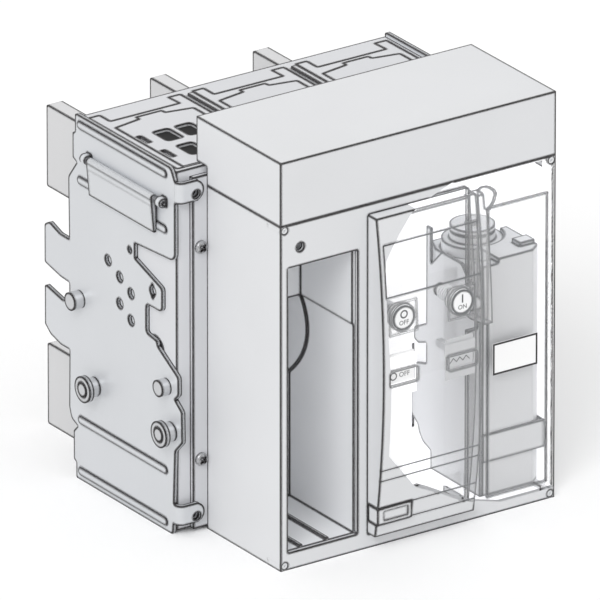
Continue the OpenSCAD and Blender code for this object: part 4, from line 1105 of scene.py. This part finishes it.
@dataclass
class SeamAndVentShade:
    """Dark strips in the fascia's seams and round its panel, painted shade of their grooves, and dark
    floors in the vents, painted shade of their depth.

    Attributes:
        seams: Height of each strip with the X where it starts.
        panel: X of the panel's left edge, its lower and its upper edge.
        strip: Width of a strip.
        bulge_r: Radius of the fascia's bulge.
        bulge: How far it stands out.
        bulge_z: Height of its middle.
        poles: X of the poles.
        vent: Width and depth of a vent.
        vent_y: Front edge of each row of vents.
        top: Height of their floors.
    """

    seams: Outline = ((50.8, 59.2), (44.3, 59.2), (26.8, 82.4), (16.9, 82.4), (155.2, 62.2), (185.7, 62.2))
    panel: Triple = (62.1, 154.9, 186.0)
    strip: float = 0.56
    bulge_r: float = 586.0
    bulge: float = 15.0
    bulge_z: float = 108.0
    poles: Triple = (15.6, 85.6, 155.6)
    vent: Pair = (10.8, 16.0)
    vent_y: Pair = (92.0, 115.7)
    top: float = 217.6

    @staticmethod
    def _block(bm: BMesh, low: Triple, high: Triple) -> None:
        """Add a block.

        Args:
            bm: The bmesh to add to.
            low: Its lowest corner, in millimetres.
            high: Its highest corner.
        """
        made = bmesh.ops.create_cube(bm, size=1.0)["verts"]
        a, b = at(*low), at(*high)
        for vert in made:
            vert.co = Vector([(p + q) / 2 + c * (q - p) for p, q, c in zip(a, b, vert.co)])

    def _strip(self, bm: BMesh, across: Pair, upright: Pair) -> None:
        """Add a strip just behind the fascia's face.

        Args:
            bm: The bmesh to add to.
            across: Its left and right edge.
            upright: Its lower and upper edge.
        """
        off_middle = sum(upright) / 2 - self.bulge_z
        face = self.bulge_r - self.bulge - math.sqrt(self.bulge_r ** 2 - off_middle ** 2)
        front, back = 0.06, 0.4
        self._block(bm, (across[0], face + front, upright[0]), (across[1], face + back, upright[1]))

    @staticmethod
    def _joint_x(z: float) -> float:
        """Find the left edge of the fascia's clear part.

        Args:
            z: Height, in millimetres.

        Returns:
            The edge's X there.
        """
        for (xa, za), (xb, zb) in zip(FASCIA_JOINT, FASCIA_JOINT[1:]):
            if zb <= z <= za:
                return xa + (xb - xa) * (z - za) / (zb - za)
        return FASCIA_JOINT[-1][0]

    def _strips(self, bm: BMesh, clear: bool) -> None:
        """Add the strips of the clear or of the solid part.

        Args:
            bm: The bmesh to add to.
            clear: True for the clear part.
        """
        seam_end = 126.1
        for z, start in self.seams:
            joint = self._joint_x(z)
            x0, x1 = (max(start, joint), seam_end) if clear else (start, min(seam_end, joint))
            if x1 > x0:
                self._strip(bm, (x0, x1), (z - self.strip / 2, z + self.strip / 2))
        left, low, high = self.panel
        steps = 16
        for i in range(steps):
            z0, z1 = (low + (high - low) * k / steps for k in (i, i + 1))
            if (self._joint_x((z0 + z1) / 2) < left) == clear:
                self._strip(bm, (left, left + self.strip), (z0, z1))

    def _floors(self, bm: BMesh) -> None:
        """Add a dark floor to each vent, painted shade of its depth.

        Args:
            bm: The bmesh to add to.
        """
        w, d = self.vent
        half_rib, gap, thick = 2.0, 0.1, 0.6
        for pole in self.poles:
            for y in self.vent_y:
                for x in (pole - half_rib - w, pole + half_rib):
                    self._block(bm, (x + gap, y + gap, self.top - thick),
                                (x + w - gap, y + d - gap, self.top))

    def build(self, shop: Workshop) -> None:
        """Make the strips and the vent floors, both painted shade.

        Args:
            shop: Settles the pieces.
        """
        for name, finish, clear in (("seam_strips", "seam_shade", False),
                                    ("clear_seam_strips", "seam_grey", True)):
            mesh = mesh_of(name, lambda bm, clear=clear: self._strips(bm, clear))
            shop.settle(name, mesh, finish)
        shop.settle("vent_floors", mesh_of("vent_floors", self._floors), "vent_dark")


@dataclass
class Studio:
    """Floor, lamp, world and camera.

    Attributes:
        azimuth: Where the camera looks along, in degrees from +Y.
        elevation: Its height above the horizon, in degrees.
        scale: Pixels of the picture for each millimetre.
        picture: Width of the picture in pixels.
        lens: Focal length, long enough for a nearly parallel view.
        aim: The point that the offset starts from, in metres.
        offset: How far the picture's middle lies to the right and above it, in millimetres.
        ambient: Strength of the even light.
        key: Strength of the lamp.
        key_from: Where its light comes from.
    """

    azimuth: float = -34.27
    elevation: float = 23.16
    scale: float = 1.784
    picture: float = 600
    lens: float = 1400
    aim: Triple = (0.0, 0.0, 0.12)
    offset: Pair = (3.92, -14.6)
    ambient: float = 0.83
    key: float = 1.0
    key_from: Triple = (-0.60, -0.44, 0.67)

    def build(self) -> None:
        """Make the floor, the light and the camera."""
        bpy.context.scene.view_settings.view_transform = "Standard"
        self._floor()
        self._world()
        self._lamp()
        self._camera()

    @staticmethod
    def _floor() -> None:
        """Lay a plain pale floor, which the camera sees as white."""
        half, tone = 30.0, 0.88
        mesh = bpy.data.meshes.new("floor")
        mesh.from_pydata([(half * x, half * y, 0) for x, y in SQUARE], [], [(0, 1, 2, 3)])
        paper = bpy.data.materials.new("studio_floor")
        paper.use_nodes = True
        g = Graph(paper.node_tree)
        seen = g.add("ShaderNodeLightPath").outputs["Is Camera Ray"]
        colour = g.blend(seen, (tone, tone, tone, 1), (1, 1, 1, 1))
        shader = g.add("ShaderNodeBsdfDiffuse", {"Color": colour})
        g.add("ShaderNodeOutputMaterial", {"Surface": shader.outputs[0]})
        mesh.materials.append(paper)
        linked("floor", mesh)

    def _world(self) -> None:
        """Make the even light, which the camera, metal and glass see as white."""
        world = bpy.data.worlds.new("studio")
        bpy.context.scene.world = world
        world.use_nodes = True
        g = Graph(world.node_tree)
        path = g.add("ShaderNodeLightPath")
        seen = g.math("MAXIMUM", path.outputs["Is Camera Ray"], path.outputs["Is Glossy Ray"])
        seen = g.math("MAXIMUM", seen, path.outputs["Is Transmission Ray"])
        strength = g.math("MULTIPLY_ADD", seen, 1.0 - self.ambient, self.ambient)
        light = g.add("ShaderNodeBackground", {"Color": (1, 1, 1, 1), "Strength": strength})
        g.add("ShaderNodeOutputWorld", {"Surface": light.outputs[0]})

    def _lamp(self) -> None:
        """Hang a soft lamp to the front left and above."""
        lamp = bpy.data.lights.new("key", "SUN")
        lamp.energy = self.key
        lamp.angle = math.radians(30)
        key = linked("key", lamp)
        key.rotation_mode = "QUATERNION"
        key.rotation_quaternion = Vector(self.key_from).to_track_quat("Z", "Y")

    def _camera(self) -> None:
        """Stand the camera at the drawing's viewing angle."""
        a, e = math.radians(self.azimuth), math.radians(self.elevation)
        back = Vector((math.sin(a) * math.cos(e), -math.cos(a) * math.cos(e), math.sin(e)))
        right = Vector((math.cos(a), math.sin(a), 0))
        up = back.cross(right)
        data = bpy.data.cameras.new("camera")
        data.lens = self.lens
        data.sensor_width = 36
        data.clip_start, data.clip_end = 0.1, 100
        distance = self.picture / self.scale * MM * self.lens / data.sensor_width
        camera = linked("camera", data)
        target = Vector(self.aim) + right * self.offset[0] * MM + up * self.offset[1] * MM
        camera.location = target + back * distance
        camera.rotation_mode = "QUATERNION"
        camera.rotation_quaternion = (-back).to_track_quat("-Z", "Y")
        bpy.context.scene.camera = camera


# What the names of the CAD nodes that keep their own mesh start with, by finish
DRESS = {
    "moulded_cover": ("terminal_hood", "padlock_tab"),
    "moulded_case": ("pole_case", "arc_chute", "chute_covers"),
    "moulded_frame": ("mounting_frame",),
    # The bay liner's paler paint is painted light against the shade of its walls
    "moulded_bay": ("bay_liner",),
    # Shroud and barrier: white with a painted glow, painted light
    "white_screen": ("mechanism_shroud", "motor_barrier"),
    "white_button": ("off_button", "on_button"),
    "white_flag": ("position_flag",),
    "mask_grey": ("spring_flag",),
    "clear_lever": ("charging_lever",),
    "clear_lens": ("indicator_lenses",),
    "zinc_sheet": ("side_plate", "grip_left", "grip_right", "mechanism_plates", "splitter_plates"),
    "turned_steel": ("guide_studs", "roller", "grip_pins", "contact_pins", "pole_shaft", "drive_rod",
                     "charging_shaft", "spring_plunger"),
    "pale_steel": ("lever_pin", "motor_coupling"),
    "motor_paint": ("motor_plate", "motor_housing", "motor_can", "motor_strap"),
    "silvered_blade": ("upper_blade", "lower_blade"),
    "bare_copper": ("contact_arms",),
    "dark_moulded": ("aux_terminals", "current_sensors"),
    "blank_label": ("rating_plate",),
    "spring_wire": ("grip_springs",),
}


def main() -> None:
    """Dress the frame, add the pieces and set the studio up."""
    logging.basicConfig(level=logging.INFO, format="%(name)s: %(message)s")
    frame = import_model()
    Studio().build()
    shop = Workshop(frame)
    for finish, starts in DRESS.items():
        shop.dress(finish, starts)
    for assembly in (SeamlessShells(), Springs(), CoverHardware(), SeamAndVentShade(), Marks()):
        assembly.build(shop)
        LOG.info("%s built", type(assembly).__name__)


if __name__ == "__main__":
    main()
